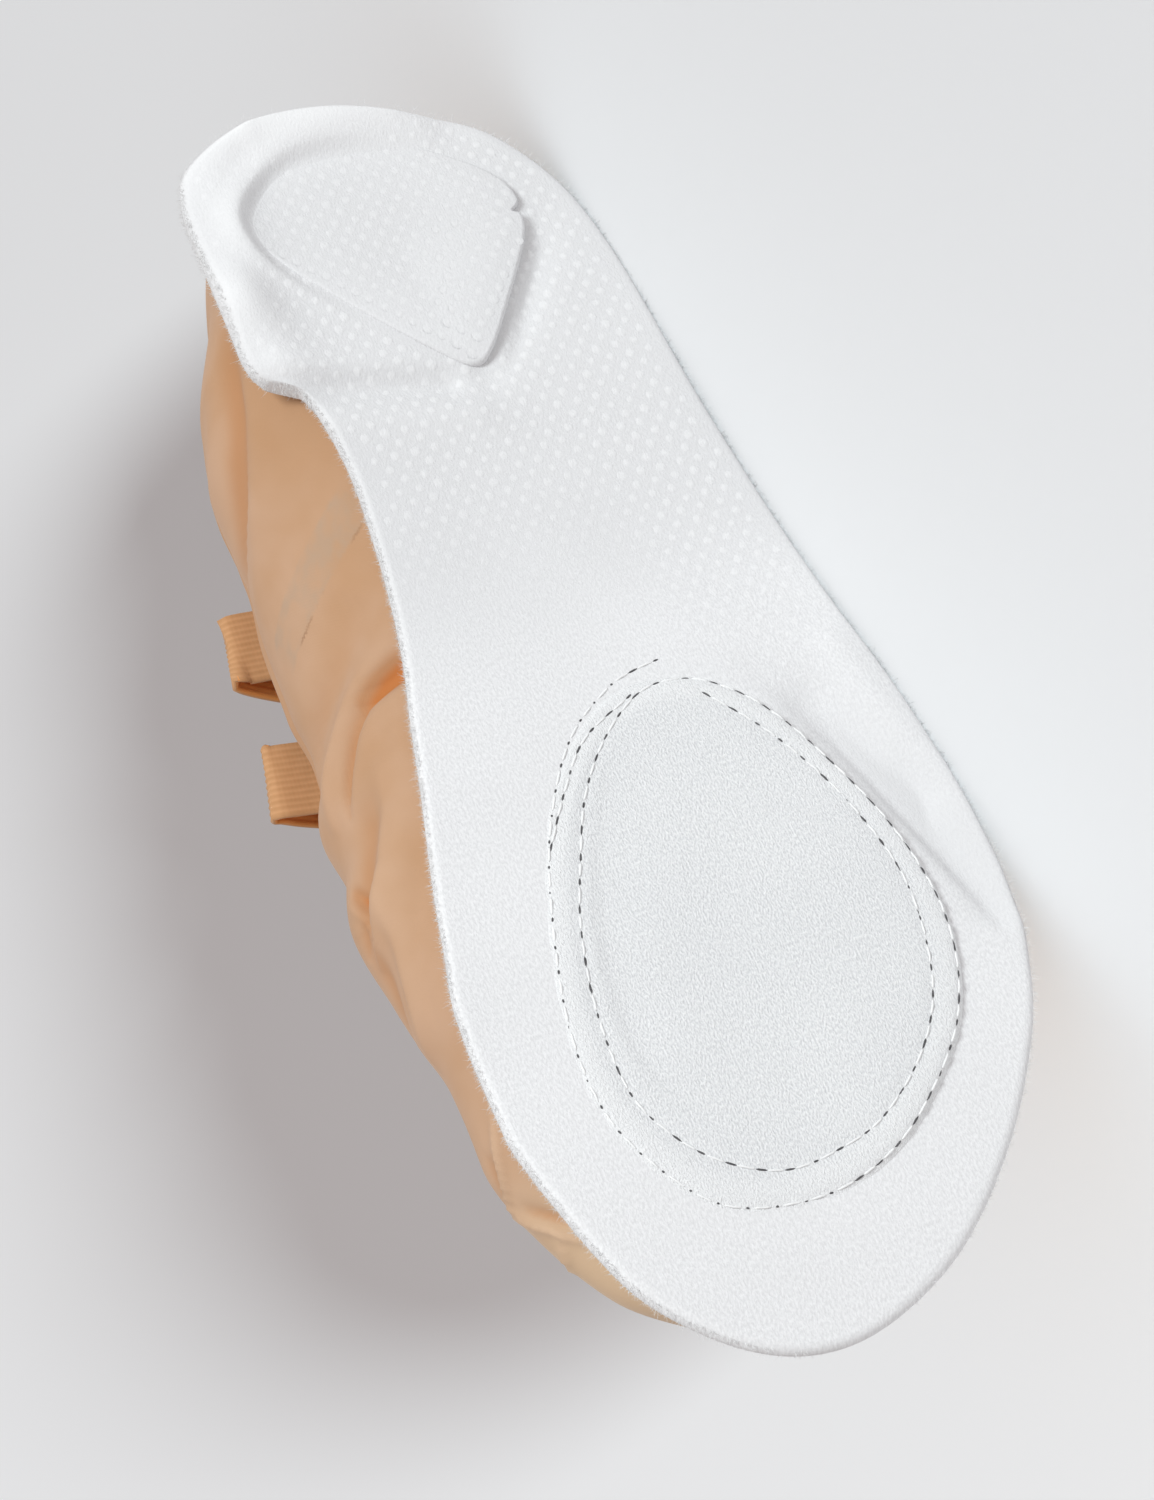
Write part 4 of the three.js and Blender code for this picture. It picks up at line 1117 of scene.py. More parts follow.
# Heel pad: rings, steps down its cut edge, lift inside and the power by which it falls to the rim, range of
# rings over which it rises to its cut edge, share of the sole's relief that it follows, and swell of the cut
# edge
HEEL_RINGS = np.linspace(0.03, 1.0, 52)
HEEL_EDGE = np.linspace(0, 1, 7)[1:]
HEEL_BASE = 0.45
HEEL_FALL = 4
HEEL_RISE = (0.0, 0.9)
HEEL_FOLLOWS = 0.85
HEEL_EDGE_SWELL = 0.35


def heel_face(x, y, proud, ring):
    """Heel pad's face: a little over the sole inside, rising to its cut edge by how proud the rim is there."""
    lift = HEEL_BASE * (1 - ring ** HEEL_FALL) + proud * smooth_step(*HEEL_RISE, ring)
    return camber(x / SOLE_LENGTH) - HEEL_FOLLOWS * bells(SOLE_RELIEF, x, y) - lift


def make_heel_pad():
    """Heel pad: its face, and a cut edge that swells out like a half sine on its way down into the sole."""
    points, _ = pad_points(HEEL_RIM, HEEL_PAD_MIDDLE, HEEL_RINGS,
                           lambda x, y, ring: heel_face(x, y, HEEL_PROUD, ring))
    edge = points[-1]
    down = HEEL_EDGE[:, None]
    swell = HEEL_EDGE_SWELL * np.sin(np.pi * down)[..., None] * unit(HEEL_RIM - HEEL_PAD_MIDDLE)
    z = edge[:, 2] + down * (sole_face(edge[:, 0], edge[:, 1]) + PAD_BACK - edge[:, 2])
    points = np.concatenate([points, np.concatenate([edge[:, :2] + swell, z[..., None]], axis=-1)])
    faces = quads(len(points), len(HEEL_RIM), wrap=True, flip=True)
    pad = piece("heel_pad_patch", points, faces, SOLE_KNIT, "pad_mesh", flat_uv(points), outward=False)
    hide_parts("heel_pad")
    return pad


def inside_rim(rim, x, y):
    """Whether points lie inside a closed outline: an odd number of its sides is crossed on the way out."""
    ax, ay = rim[:, 0], rim[:, 1]
    bx, by = np.roll(ax, -1), np.roll(ay, -1)
    above = (ay > y[:, None]) != (by > y[:, None])
    run = np.where(by == ay, 1.0, by - ay)
    cross = ax + (y[:, None] - ay) * ((bx - ax) / run)
    return (above & (x[:, None] < cross)).sum(axis=1) % 2 == 1


def read_rim(values, rim, middle, away):
    """Values kept for a rim's points, read in the directions of other points away from its middle."""
    rim_turn, turn = (np.arctan2(off[:, 1], off[:, 0]) for off in (rim - middle, away))
    return np.interp(turn, rim_turn, values, period=2 * np.pi)


def ring_of(rim, middle, away):
    """Share of the way from a rim's middle to the rim, of points away from that middle."""
    return np.linalg.norm(away, axis=1) / read_rim(np.linalg.norm(rim - middle, axis=1), rim, middle, away)


# Shape of a dot: sides, its rings as shares of its size, and their heights as shares of its height
DOT_SIDES = 12
DOT_RINGS = np.array([1.0, 0.8, 0.55, 0.28, 0.0])
DOT_RISE = np.array([-0.35, 0.22, 0.66, 0.92, 1.0])


def dot_places():
    """Places, sizes and strengths of the dots, and which of them are on the heel pad.

    Rows lie across the foot, every other one shifted half a pitch. A row's place along the foot is its
    number times the gap, plus the growth times the number squared.
    """
    chance = np.random.default_rng(SEED)
    rows = np.arange(int(SOLE_LENGTH / DOT_ROW_GAP))[:, None]
    most = int(BALL_WIDTH / DOT_ACROSS)
    step = np.arange(-most, most + 1)
    x = (rows * DOT_ROW_GAP + rows ** 2 * DOT_ROW_GROWTH + 0 * step).ravel()
    y = ((step + 0.5 * (rows % 2)) * DOT_ACROSS).ravel()
    x = x + chance.normal(0, DOT_CHANCE, x.shape)
    y = y + chance.normal(0, DOT_CHANCE, y.shape)
    on_length = (x > DOT_END_MARGIN) & (x < SOLE_LENGTH - DOT_END_MARGIN) & (np.abs(y) < BALL_WIDTH / 2)
    x, y = x[on_length], y[on_length]
    size = chance.uniform(*DOT_SIZES, x.shape)
    angle = to_angle(x / SOLE_LENGTH)
    on_sole = (y > outer_edge(angle) + DOT_MARGIN) & (y < inner_edge(angle) + sole_lip(angle) - DOT_MARGIN)
    middle = smooth_step(*DOT_BESIDE, y)
    faded = middle * smooth_step(*DOT_FADE_MIDDLE, x) + (1 - middle) * smooth_step(*DOT_FADE_BESIDE, x)
    shrunk, grown = (HEEL_PAD_MIDDLE + share * (HEEL_RIM - HEEL_PAD_MIDDLE) for share in DOT_PAD_EDGE)
    on_pad = inside_rim(shrunk, x, y)
    near_edge = inside_rim(grown, x, y) & ~on_pad
    kept = on_sole & ~inside_rim(BALL_RIM, x, y) & ~near_edge & (1 - faded > DOT_LEAST)
    x, y, size, faded, on_pad = (each[kept] for each in (x, y, size, faded, on_pad))
    fade = (1 - faded) * np.where(on_pad, DOT_ON_PAD, 1 - smooth_step(*DOT_RIM_FADE, ridge_highlight(x, y)))
    return x, y, size, fade, on_pad


def make_mesh_dots():
    """Raised dots of the knit: each one is a low soft dome of rings on the sole or on the heel pad."""
    x, y, size, fade, on_pad = dot_places()
    away = np.stack([x, y], axis=-1) - HEEL_PAD_MIDDLE
    ring = np.minimum(ring_of(HEEL_RIM, HEEL_PAD_MIDDLE, away), 1)
    proud = read_rim(HEEL_PROUD, HEEL_RIM, HEEL_PAD_MIDDLE, away)
    columns = (x, y, size, fade, on_pad, ring, proud)
    x, y, size, fade, on_pad, ring, proud = (each[:, None, None] for each in columns)
    around = 2 * np.pi * np.arange(DOT_SIDES) / DOT_SIDES
    out, rise = DOT_RINGS[:, None], DOT_RISE[:, None]
    px = x + out * size * DOT_HALF_ALONG * np.cos(around)
    py = y + out * size * DOT_HALF_ACROSS * np.sin(around)
    ground = np.where(on_pad, heel_face(px, py, proud, ring), sole_face(px, py))
    points = np.stack([px, py, ground - DOT_HEIGHT * fade * size * rise], axis=-1)
    faces = repeat_faces(quads(len(DOT_RINGS), DOT_SIDES, wrap=True), len(points), DOT_SIDES * len(DOT_RINGS))
    # Painted light under each dot from the sole, and a painted highlight brightest on the dot's top
    under = np.where(on_pad, 0, ridge_highlight(px, py) + trough_shade(px, py))
    painted_light = under + (1 - under) * DOT_HIGHLIGHT * fade * (1 - out ** 2)
    return piece("mesh_dots", points, faces, SOLE_KNIT, "sole_mesh", flat_uv(points), outward=False, painted_light=painted_light)


# Stitches and fuzz

# Tubes of threads and holes: sides, rings along a thread and a hole, lift of a thread over the cloth,
# distance over which a row's direction is read, margin at a row's ends, scatter of the holes, and spread of
# their lengths
TUBE_SIDES = 8
THREAD_RINGS = 9
HOLE_RINGS = 5
THREAD_LIFT = 0.13
TUBE_STEP = 0.05
ROW_MARGIN = 0.6
HOLE_CHANCE = 0.16
HOLE_LENGTHS = (0.6, 1.15)


def pad_surface(x, y):
    """Height of the cloth under a stitch: the ball pad inside its rim, the sole outside."""
    away = np.stack([np.ravel(x), np.ravel(y)], axis=-1) - BALL_MIDDLE
    ring = np.reshape(ring_of(BALL_RIM, BALL_MIDDLE, away), np.shape(x))
    pad = ball_face(x, y, np.minimum(ring, 1))
    sole = sole_face(x, y)
    return np.where(ring < 1, np.minimum(pad, sole), sole)


def stitch_tubes(path, starts, ends, rings, half_width, half_height, lift):
    """Small tubes along a path: round sections that shrink to both ends, lifted in the middle."""
    lengths = arc_lengths(path)
    u = np.linspace(0, 1, rings)
    where = starts[:, None] + (ends - starts)[:, None] * u
    centre, ahead, behind = (at_length(path, lengths, where + step) for step in (0.0, TUBE_STEP, -TUBE_STEP))
    along = unit(ahead - behind)
    swell = np.sqrt(np.clip(1 - (2 * u - 1) ** 4, 0, 1))[:, None]
    turn = 2 * np.pi * np.arange(TUBE_SIDES) / TUBE_SIDES
    side = half_width * swell * np.cos(turn)
    height = half_height * swell * np.sin(turn)
    x = centre[..., :1] - along[..., 1:] * side
    y = centre[..., 1:] + along[..., :1] * side
    ground = pad_surface(centre[..., 0], centre[..., 1]) - lift * np.sin(np.pi * u)
    points = np.stack([x, y, ground[..., None] - height], axis=-1)
    faces = repeat_faces(quads(rings, TUBE_SIDES, wrap=True), len(starts), rings * TUBE_SIDES)
    return points.reshape(-1, 3), faces


def joined(parts):
    """Points and faces of several meshes as those of one, with the faces counted on from part to part."""
    starts = np.cumsum([0] + [len(points) for points, _ in parts])
    faces = np.concatenate([own + start for (_, own), start in zip(parts, starts)])
    return np.concatenate([points for points, _ in parts]), faces


def make_stitches():
    """Threads from needle hole to needle hole, and the holes as dark tubes of painted shade, shorter on the
    inner side of the outer row.
    """
    chance = np.random.default_rng(SEED + 1)
    gap = STITCH_PITCH * (1 - STITCH_SHARE)
    threads, holes = [], []
    for path, outer_row in ((STITCH_PATH, OUTER_ROW_SHARE), (OVERLAP_PATH, 0.0)):
        lengths = arc_lengths(path)
        at = np.arange(ROW_MARGIN, lengths[-1] - ROW_MARGIN, STITCH_PITCH)
        at = at + chance.normal(0, HOLE_CHANCE, at.shape)
        starts, ends = at[:-1] + gap / 2, at[1:] - gap / 2
        threads.append(stitch_tubes(path, starts, ends, THREAD_RINGS, *THREAD_HALF, THREAD_LIFT))
        faint = (at < outer_row * lengths[-1]) & (at_length(path, lengths, at)[:, 1] > 0)
        length = HOLE_LENGTH * chance.uniform(*HOLE_LENGTHS, at.shape) * np.where(faint, OUTER_ROW_FAINT, 1.0)
        holes.append(stitch_tubes(path, at - length / 2, at + length / 2, HOLE_RINGS, *HOLE_HALF, 0.0))
    return [piece("pad_stitches", *joined(threads), THREAD, "pad_mesh"),
            piece("needle_hole_shades", *joined(holes), NEEDLE_HOLE_SHADE, "pad_mesh")]


# Fibres: number, length and its spread, share on the inner edge, distance inside the outline, spread over
# the edge's depth, angle over which the edge's direction is read, scatter of the lean along the edge, middle
# and scatter of the lean down, scatter of the curl, places along a fibre, radius there, and sides
FIBRE_COUNT = 9000
FIBRE_LENGTH = 1.05
FIBRE_LENGTHS = (0.35, 1.0)
FIBRE_INNER = 0.68
FIBRE_INSET = 0.25
FIBRE_DEPTHS = (0.15, 1.0)
FIBRE_STEP = 0.01
FIBRE_LEAN_ALONG = 0.7
FIBRE_LEAN_DOWN = (0.25, 0.5)
FIBRE_CURL = 0.35
FIBRE_PLACES = np.array([0.0, 0.5, 1.0])[:, None]
FIBRE_RADII = 0.035 * np.array([1.0, 0.75, 0.15])
FIBRE_SIDES = 3
DOWN = np.array([0, 0, -1.0])
NEARLY_DOWN = DOWN + 0.01


def make_edge_fuzz():
    """Cut fibres: thin three-sided spikes on the sole's edge that lean outwards and curl by chance.

    A point of it is the root, plus the way times the lean, plus the square of the way times the curl.
    """
    chance = np.random.default_rng(SEED + 2)
    angle = np.arccos(chance.uniform(-1, 1, FIBRE_COUNT))
    side = np.where(chance.uniform(0, 1, FIBRE_COUNT) < FIBRE_INNER, 1.0, -1.0)

    def edge(at):
        return np.stack(sole_edge(np.clip(at, 0, np.pi), side, FIBRE_INSET), axis=-1)

    x, y = edge(angle).T
    depth = chance.uniform(*FIBRE_DEPTHS, FIBRE_COUNT)
    root = np.stack([x, y, sole_top(x) * (1 - depth) + sole_face(x, y) * depth], axis=-1)
    run = unit(np.pad(edge(angle + FIBRE_STEP) - edge(angle - FIBRE_STEP), ((0, 0), (0, 1))))
    out = np.stack([-run[:, 1] * side, run[:, 0] * side, 0 * angle], axis=-1)
    one_each = (FIBRE_COUNT, 1)
    along = run * chance.normal(0, FIBRE_LEAN_ALONG, one_each)
    lean = unit(out + along + DOWN * chance.normal(*FIBRE_LEAN_DOWN, one_each))
    curl = chance.normal(0, FIBRE_CURL, (FIBRE_COUNT, 3))
    length = FIBRE_LENGTH * chance.uniform(*FIBRE_LENGTHS, one_each)
    spine = (root[:, None] + FIBRE_PLACES * (lean * length)[:, None]
             + FIBRE_PLACES ** 2 * (curl * length)[:, None])
    turn = 2 * np.pi * np.arange(FIBRE_SIDES)[:, None] / FIBRE_SIDES
    wide = unit(np.cross(lean, NEARLY_DOWN))
    ring = np.cos(turn) * wide[:, None] + np.sin(turn) * np.cross(lean, wide)[:, None]
    points = spine[:, :, None] + FIBRE_RADII[:, None, None] * ring[:, None]
    rings = len(FIBRE_RADII)
    faces = repeat_faces(quads(rings, FIBRE_SIDES, wrap=True, flip=True), FIBRE_COUNT, rings * FIBRE_SIDES)
    return piece("edge_fuzz", points, faces, THREAD, "sole_mesh", merge=0.0)


# Upper, binding, straps and insole

# Upper: stations along its open and its closed part, the power that crowds them at the throat and the toe
# and the even share of the closed ones, steps up the wall and their even share, height over which folds grow
# above the sole, range of the climb over which they fade to the closed top, and shift of the outer side on
# the flat cloth
OPEN_STATIONS = 130
CLOSED_STATIONS = 90
STATION_CROWD = 1.6
STATION_EVEN = 0.4
WALL_STEPS = 96
CLIMB_EVEN = 0.45
WALL_SEAT = 3.5
TOP_FADE = (0.86, 1.0)
OUTER_UV_SHIFT = 200.0


def tape_rise(x, z):
    """Rise of the sheer tape over the canvas: soft steps of the places along and across its middle line."""
    run = unit(np.subtract(TAPE_HEAD, TAPE_FOOT))
    off = np.stack([x - TAPE_FOOT[0], z - TAPE_FOOT[1]], axis=-1)
    along = off @ run
    across = np.abs(off @ np.array([run[1], -run[0]]))
    on_tape = 1 - smooth_step(TAPE_HALF - TAPE_SOFT, TAPE_HALF + TAPE_SOFT, across)
    return TAPE_RAISE * on_tape * smooth_step(*TAPE_START, along) * (1 - smooth_step(*TAPE_END, along))


def upper_grid(side):
    """One side of the upper's outer face: stations along the foot, heights from sole to collar or top.

    Creases move the face along its normal, fading to nothing at the sole's edge and at the two ends.
    """
    throat = float(throat_angle(np.array(UPPER_INSET), 0.0))
    s = np.linspace(0, 1, OPEN_STATIONS)
    f = np.linspace(0, 1, CLOSED_STATIONS)[1:]
    opened = throat * (1 - (1 - s) ** STATION_CROWD)
    closed = throat + (np.pi - throat) * (STATION_EVEN * f + (1 - STATION_EVEN) * f ** STATION_CROWD)
    angle = np.concatenate([opened, closed])[:, None]
    cut = section(angle, UPPER_INSET)
    ceiling = np.minimum(collar_z(angle, UPPER_INSET, 0.0), cut["base"] + cut["top"])
    climb = np.linspace(0, 1, WALL_STEPS)
    climb = CLIMB_EVEN * climb + (1 - CLIMB_EVEN) * np.sin(climb * np.pi / 2)
    z = cut["base"] + (ceiling - cut["base"]) * climb
    points = wall_point(angle, z, side, UPPER_INSET)
    normal = surface_normals(points)
    normal = normal * side * np.sign(np.median(normal[..., 1]))
    seat = smooth_step(0, WALL_SEAT, z - cut["base"]) * np.minimum(1, cut["fade"] ** 2)
    top_fade = np.where(angle > throat, 1 - smooth_step(*TOP_FADE, climb), 1.0)
    x = points[..., 0]
    if side > 0:
        # The inner folds carry painted light: a highlight on their ridges and warm shade in their creases
        push, painted_light = fold_relief(INNER_FOLDS, x, z)
        push = push + tape_rise(x, z)
    else:
        push, painted_light = bells(OUTER_CREASES, x, z), np.zeros(z.shape)
    points = points + normal * (push * seat * top_fade)[..., None]
    shift = np.array([0.0, 0.0 if side > 0 else OUTER_UV_SHIFT])
    return points, (points[..., ::2] + shift) / CENTIMETRE, painted_light


def make_upper():
    """Upper: the outer faces of its two sides as one sheet, thickened inwards by the wall."""
    inner, inner_uv, inner_painted = upper_grid(1)
    outer, outer_uv, outer_painted = upper_grid(-1)
    rows, columns = inner.shape[:2]
    faces = np.concatenate([quads(rows, columns, flip=True), quads(rows, columns, start=rows * columns)])
    upper = piece("canvas_upper", np.stack([inner, outer]), faces, CANVAS, "canvas",
                  np.stack([inner_uv, outer_uv]), outward=False, painted_light=np.stack([inner_painted, outer_painted]))
    thicken = upper.modifiers.new("wall", "SOLIDIFY")
    thicken.thickness = WALL * METRE
    thicken.offset = -1
    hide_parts("upper")
    (grid_area(inner) + grid_area(outer)) * METRE ** 2
    return upper


# Binding: stations along it, points over its crest and up a leg, where a leg's top is and its hem turns in,
# as shares of its depth, how far the hem tucks into the wall, depth at the throat and the power by which the
# tape turns to it, and distance at which doubled points are merged, in metres
BINDING_STATIONS = 170
BINDING_CREST = 13
BINDING_LEG = 9
BINDING_LEG_TOP = 0.08
BINDING_HEM = (0.45, 1.0)
BINDING_TUCK = 0.15
BINDING_END = 2.0
BINDING_END_TURN = 6
BINDING_MERGE = 2e-5


def binding_profile():
    """Closed section of the tape: distance inside the outline, share of the tape's depth, rise over it."""
    slot_out, slot_in = UPPER_INSET - SEAT_GAP, UPPER_INSET + WALL + SEAT_GAP
    out, back = slot_out - BINDING_SKIN, slot_in + BINDING_SKIN
    tucked = UPPER_INSET + BINDING_TUCK
    half, middle = (back - out) / 2, (back + out) / 2
    turn = np.linspace(0, np.pi, BINDING_CREST)
    leg = np.linspace(1, BINDING_LEG_TOP, BINDING_LEG)
    hem = out + (tucked - out) * smooth_step(*BINDING_HEM, leg)
    slot = [slot_in, slot_in, slot_out, tucked]
    inward = np.concatenate([hem, middle - half * np.cos(turn), np.full(BINDING_LEG, back), slot])
    reach = np.concatenate([leg, 0 * turn, leg[::-1], [1, 0, 0, 1]])
    crest = (SEAT_GAP + BINDING_SKIN) * np.sin(turn)
    over = np.concatenate([0 * leg, crest, 0 * leg, [0, SEAT_GAP, SEAT_GAP, 0]])
    return inward, reach, over


def make_binding():
    """Binding: its section carried along the collar on both sides, from the heel to where the sides meet."""
    inward, reach, over = binding_profile()
    s = np.linspace(0, 1, BINDING_STATIONS)[:, None]
    angle = throat_angle(inward, reach * BINDING_END - over) * (1 - (1 - s) ** 2)
    cut = section(angle, inward)
    share = 1 - s ** BINDING_END_TURN
    depth = tape_reach(cut["x"] / SOLE_LENGTH) * share + BINDING_END * (1 - share)
    z = np.minimum(collar_z(angle, inward, reach * depth - over), cut["base"] + cut["top"])
    sides = [wall_point(angle, z, side, inward) for side in (1, -1)]
    rows, columns = z.shape
    faces = np.concatenate([quads(rows, columns, wrap=True),
                            quads(rows, columns, wrap=True, start=rows * columns, flip=True)])
    binding = piece("collar_tape", np.stack(sides), faces, BINDING_TAPE, "binding_tape", merge=BINDING_MERGE)
    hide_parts("collar_binding")
    crest = BINDING_LEG + BINDING_CREST // 2
    length = sum(arc_lengths(half[:, crest])[-1] for half in sides)
    return binding


# Straps: stations along one, columns over a face, and the power that squares its edges
STRAP_STATIONS = 150
STRAP_COLUMNS = 74
STRAP_EDGE_POWER = 24


def centripetal(points, per_span=40):
    """Curve through points with spans timed by the square root of their lengths, so that it never loops."""
    around = np.concatenate([2 * points[:1] - points[1:2], points, 2 * points[-1:] - points[-2:-1]])
    timing = np.sqrt(np.linalg.norm(np.diff(around, axis=0), axis=1))
    u = (np.arange(per_span) / per_span)[None, :, None]
    p0, p1, p2, p3 = around[:-3], around[1:-2], around[2:-1], around[3:]
    d0, d1, d2 = (timing[k:len(timing) - 2 + k, None] for k in range(3))
    start = ((p1 - p0) / d0 - (p2 - p0) / (d0 + d1) + (p2 - p1) / d1) * d1
    end = ((p2 - p1) / d1 - (p3 - p1) / (d1 + d2) + (p3 - p2) / d2) * d1
    p1, p2, start, end = p1[:, None], p2[:, None], start[:, None], end[:, None]
    curve = (p1 + start * u + (-3 * p1 + 3 * p2 - 2 * start - end) * u ** 2
             + (2 * p1 - 2 * p2 + start + end) * u ** 3)
    return np.concatenate([curve.reshape(-1, 3), points[-1:]])


def strap_route(inner_x, outer_x, arch_z, bow):
    """Middle line of a strap: up inside the inner collar, out, over the instep, down inside the outer one."""
    def x_at(crossed):
        return inner_x + (outer_x - inner_x) * crossed

    def places(crossed):
        return x_at(crossed) + np.array([-0.5, 0, 0.5]) * STRAP_WIDTH

    def inside(crossed, z, side, extra):
        reach = (side * wall_at(places(crossed), z, side, UPPER_INSET + WALL)).min()
        return [x_at(crossed), side * (reach - STRAP_OFF_WALL - extra), z]

    shoulder = arch_z - STRAP_ARCH
    collar = collar_height(places(0) / SOLE_LENGTH).max()
    rim_y = wall_at(inner_x, collar, 1, UPPER_INSET + WALL / 2)
    bow_z = collar + STRAP_BOW_RISE
    bow_y = wall_at(places(INNER_CROSSED[0]), bow_z, 1, UPPER_INSET).max() + STRAP_OFF_WALL + bow
    return np.array([
        inside(0, collar - STRAP_END_DROP, 1, 0),
        inside(0, collar - STRAP_SEAM_DROP, 1, STRAP_SEAM_SLACK),
        inside(0, collar + STRAP_EDGE_RISE, 1, 0),
        [inner_x - STRAP_LEAN / 2, rim_y, collar + STRAP_RIM_RISE],
        [x_at(INNER_CROSSED[0]) - STRAP_LEAN, bow_y, bow_z],
        [x_at(INNER_CROSSED[1]), STRAP_INNER_SHOULDER_Y, shoulder],
        [x_at(0.5), STRAP_MIDDLE_Y, arch_z],
        [x_at(OUTER_CROSSED[2]), STRAP_OUTER_SHOULDER_Y, shoulder],
        inside(OUTER_CROSSED[1], STRAP_OUTER_BOW_Z, -1, STRAP_OUTER_BOW),
        inside(OUTER_CROSSED[0], STRAP_OUTER_SEAM_Z, -1, STRAP_SEAM_SLACK),
        inside(1, STRAP_OUTER_END_Z, -1, 0),
    ])


def make_strap(name, inner_x, outer_x, arch_z, bow):
    """Elastic: a flat ribbed section, closed over both faces, carried along the strap's middle line.

    Each end is closed by a section without thickness.
    """
    path = centripetal(strap_route(inner_x, outer_x, arch_z, bow))
    lengths = arc_lengths(path)
    where = np.linspace(0, lengths[-1], STRAP_STATIONS)
    centre = at_length(path, lengths, where)
    along = unit(np.gradient(centre, axis=0))
    done = where / lengths[-1]
    first, full, least, last = STRAP_TWIST_ENDS
    twist = STRAP_TWIST * smooth_step(first, full, done) * (1 - smooth_step(least, last, done))
    lengthways = np.stack([1 + 0 * twist, twist, 0 * twist], axis=-1)
    wide = unit(lengthways - along * (along * lengthways).sum(axis=1, keepdims=True))
    face = np.cross(along, wide)
    share = np.linspace(-0.5, 0.5, STRAP_COLUMNS)
    ribs = STRAP_RIB_DEPTH * np.cos(2 * np.pi * STRAP_RIBS * share + np.pi)
    edge = np.sqrt(np.clip(1 - (2 * np.abs(share)) ** STRAP_EDGE_POWER, 0, 1))
    half = (STRAP_THICK / 2 + ribs) * edge
    across = np.concatenate([share, share[::-1][1:-1]]) * STRAP_WIDTH
    height = np.concatenate([half, -half[::-1][1:-1]])
    flat = centre[:, None] + across[:, None] * wide[:, None]
    ribbed = flat + height[:, None] * face[:, None]
    points = np.concatenate([flat[:1], ribbed, flat[-1:]])
    where = np.concatenate([where[:1], where, where[-1:]])[:, None]
    uv = np.stack(np.broadcast_arrays(where / CENTIMETRE, across / STRAP_WIDTH + 0.5), axis=-1)
    faces = quads(len(points), len(across), wrap=True)
    # Warm painted light on the face towards the foot, which lies in shade inside the loop
    foot_side = np.where(height * np.sign(face[STRAP_STATIONS // 2, 2]) < 0, 1.0, 0.0)
    painted_light = foot_side + 0 * points[..., 0]
    strap = piece(name + "_elastic", points, faces, ELASTIC, "elastic", uv, painted_light=painted_light)
    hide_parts(name)
    return strap


# Insole: stations along it, columns over each face, and radius of its edge
INSOLE_STATIONS = 121
INSOLE_COLUMNS = 40
INSOLE_ROUND = 0.5


def make_insole():
    """Sock lining: the outline drawn in to clear the upper, with a softly rounded edge."""
    ring = sheet_ring(INSOLE_COLUMNS, INSOLE_COLUMNS, INSOLE_ROUND)
    inset = UPPER_INSET + WALL + INSOLE_CLEARANCE
    points = sheet_points(INSOLE_STATIONS, ring, inset, lip_share=0.0, tuck_share=1.0,
                          top_of=lambda x, y: sole_top(x) + SEAT_GAP + INSOLE_THICK,
                          under_of=lambda x, y: sole_top(x) + SEAT_GAP)
    faces = quads(INSOLE_STATIONS, len(ring[0]), wrap=True)
    insole = piece("sock_lining", points, faces, LINING, "lining", flat_uv(points))
    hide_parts("insole")
    grid_area(points[:, :INSOLE_COLUMNS]) * METRE ** 2
    return insole


SHOE = [
    make_sole(), make_ball_pad(), make_heel_pad(), make_mesh_dots(), *make_stitches(), make_edge_fuzz(),
    make_upper(), make_binding(), *(make_strap(*strap) for strap in STRAPS), make_insole(),
]


# Floor, camera and light

# Floor: half its side in metres, its light colour and its darker colour of painted shade, shares of the places
# along the shoe and behind its sole in the soft step of painted shade between them, and the range of that step
# in metres
FLOOR_REACH = 6.0
FLOOR_LIGHT = colour(0.845, 0.845, 0.85)
FLOOR_PAINTED_SHADE = colour(0.765, 0.765, 0.77)
FLOOR_ALONG = 0.83
FLOOR_BEHIND = 0.55
FLOOR_SHADE_STEP = (-0.16, 0.16)

# Surroundings and lights: colour and strength of the surroundings, colour of the lights on the floor and on
# the shoe, and the place that the lights face, in metres
SURROUND_COLOUR = (1.0, 0.925, 0.915, 1)
SURROUND_STRENGTH = 0.50
FLOOR_TINT = (0.915, 1.005, 1.03)
SHOE_TINT = (0.935, 1.005, 1.02)
LIGHT_AIM = (0.0, 0.0, 0.04)


def make_floor():
    """Pale floor: one large sheet under the shoe, with a soft step of painted shade darker towards the heel in
    front of the sole.
    """
    material, shader, wire = cloth("studio_floor", roughness=0.9)
    place = wire.node("ShaderNodeTexCoord", out=3)
    along, behind = (wire.node("ShaderNodeSeparateXYZ", {}, {"Vector": place}, out=axis) for axis in (0, 1))
    # Painted shade: the floor grows darker towards the heel in front of the sole
    step = (along * FLOOR_ALONG - behind * FLOOR_BEHIND).ramp(*FLOOR_SHADE_STEP)
    wire.tree.links.new(step.mix(FLOOR_LIGHT, FLOOR_PAINTED_SHADE).socket, shader.inputs["Base Color"])
    mesh = bpy.data.meshes.new("floor")
    corners = [(x * FLOOR_REACH, y * FLOOR_REACH, 0) for x, y in ((-1, -1), (1, -1), (1, 1), (-1, 1))]
    mesh.from_pydata(corners, [], [(0, 1, 2, 3)])
    mesh.materials.append(material)
    floor = show("floor", mesh)
    return floor


def matrix_from(right, up, back, place):
    """Object matrix, by columns, from three axes and a place."""
    full = np.eye(4)
    full[:3, :3] = np.stack([right, up, back], axis=-1)
    full[:3, 3] = place
    return full.T.tolist()


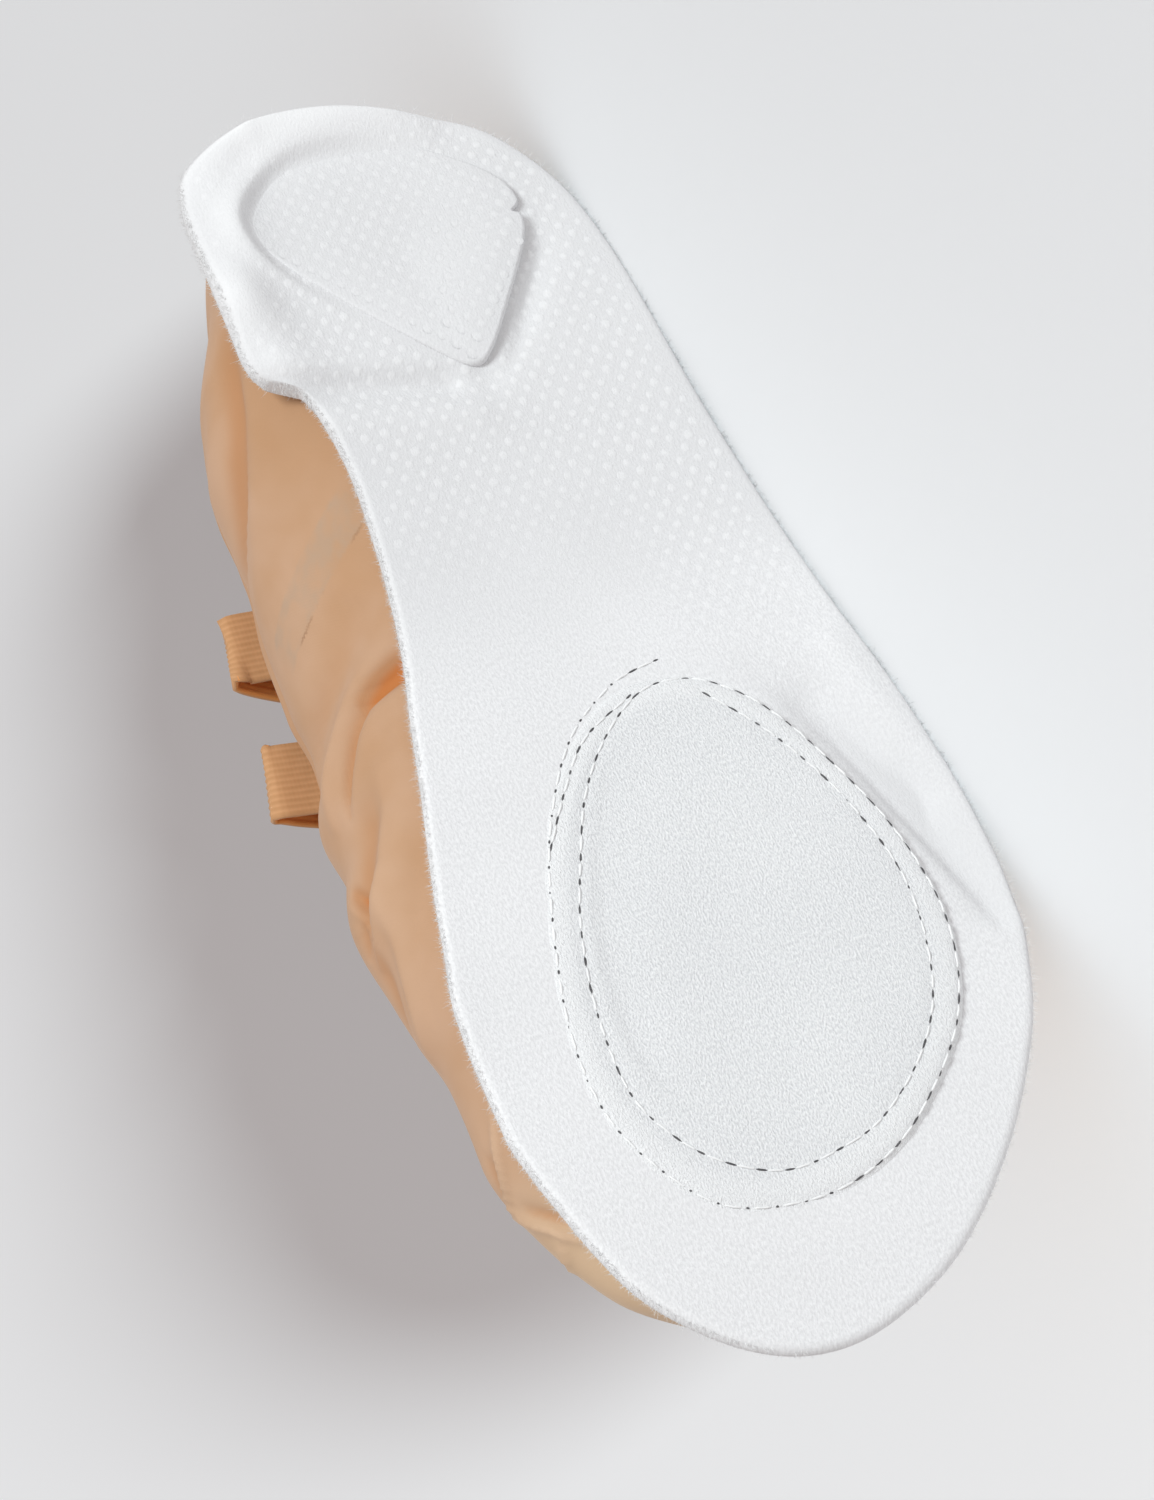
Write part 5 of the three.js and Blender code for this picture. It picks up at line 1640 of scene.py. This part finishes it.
def make_camera():
    """Camera at the photograph's angle to the shoe, rolled about its line of sight."""
    side = np.array([*CAMERA_SIDE, -math.sqrt(1 - CAMERA_SIDE[0] ** 2 - CAMERA_SIDE[1] ** 2)])
    right = unit(np.cross(-side, [-1.0, 0, 0]))
    up = np.cross(right, -side)
    c, s = math.cos(CAMERA_ROLL), math.sin(CAMERA_ROLL)
    rolled_right, rolled_up = c * right + s * up, -s * right + c * up
    place = laid(np.array(CAMERA_AIM) + side * CAMERA_DISTANCE)
    lens = bpy.data.cameras.new("camera")
    lens.sensor_fit = "VERTICAL"
    lens.angle_y = CAMERA_VIEW
    lens.clip_start = CAMERA_NEAR
    camera = show("camera", lens)
    camera.matrix_world = matrix_from(TURN @ rolled_right, TURN @ rolled_up, TURN @ side, place)
    bpy.context.scene.camera = camera


def towards(azimuth, elevation):
    """Unit vector at an azimuth from straight in front of the sole, to the heel's side, and an elevation."""
    a, e = math.radians(azimuth), math.radians(elevation)
    return np.array([math.cos(e) * math.sin(a), -math.cos(e) * math.cos(a), math.sin(e)])


def soft_light(name, azimuth, elevation, distance, size, level, tint, lit):
    """Soft light that faces the shoe: a square at a distance, or a far one with a size in degrees.

    The level is the brightness of a white matt face turned to the light. It falls only on the lit objects;
    everything still casts its shadow.
    """
    lamp = bpy.data.lights.new(name, "AREA" if distance else "SUN")
    if distance:
        lamp.size = size
        lamp.energy = level * (math.pi * distance) ** 2
    else:
        lamp.angle = math.radians(size)
        lamp.energy = level * math.pi
    lamp.color = tint
    back = towards(azimuth, elevation)
    right = unit(np.cross([0, 0, 1.0], back))
    place = np.array(LIGHT_AIM) + back * (distance or 1.0)
    shown = show(name, lamp)
    shown.matrix_world = matrix_from(right, np.cross(back, right), back, place)
    group = bpy.data.collections.new(name + "_lights")
    for each in lit:
        group.objects.link(each)
    shown.light_linking.receiver_collection = group


def make_light(floor, shoe):
    """Even surroundings, a low and a side light on the floor alone, a soft light above on the shoe alone."""
    world = bpy.data.worlds.new("studio")
    world.use_nodes = True
    background = world.node_tree.nodes["Background"]
    background.inputs["Color"].default_value = SURROUND_COLOUR
    background.inputs["Strength"].default_value = SURROUND_STRENGTH
    bpy.context.scene.world = world
    bpy.context.scene.view_settings.view_transform = "Standard"
    soft_light("low_light", azimuth=-18, elevation=13, distance=0.0, size=10.0, level=2.0, tint=FLOOR_TINT,
               lit=[floor])
    soft_light("side_light", azimuth=-75, elevation=20, distance=0.5, size=0.4, level=0.12, tint=FLOOR_TINT,
               lit=[floor])
    soft_light("soft_above", azimuth=25, elevation=50, distance=3.0, size=1.0, level=0.76, tint=SHOE_TINT,
               lit=shoe)


floor = make_floor()
make_camera()
make_light(floor, SHOE)
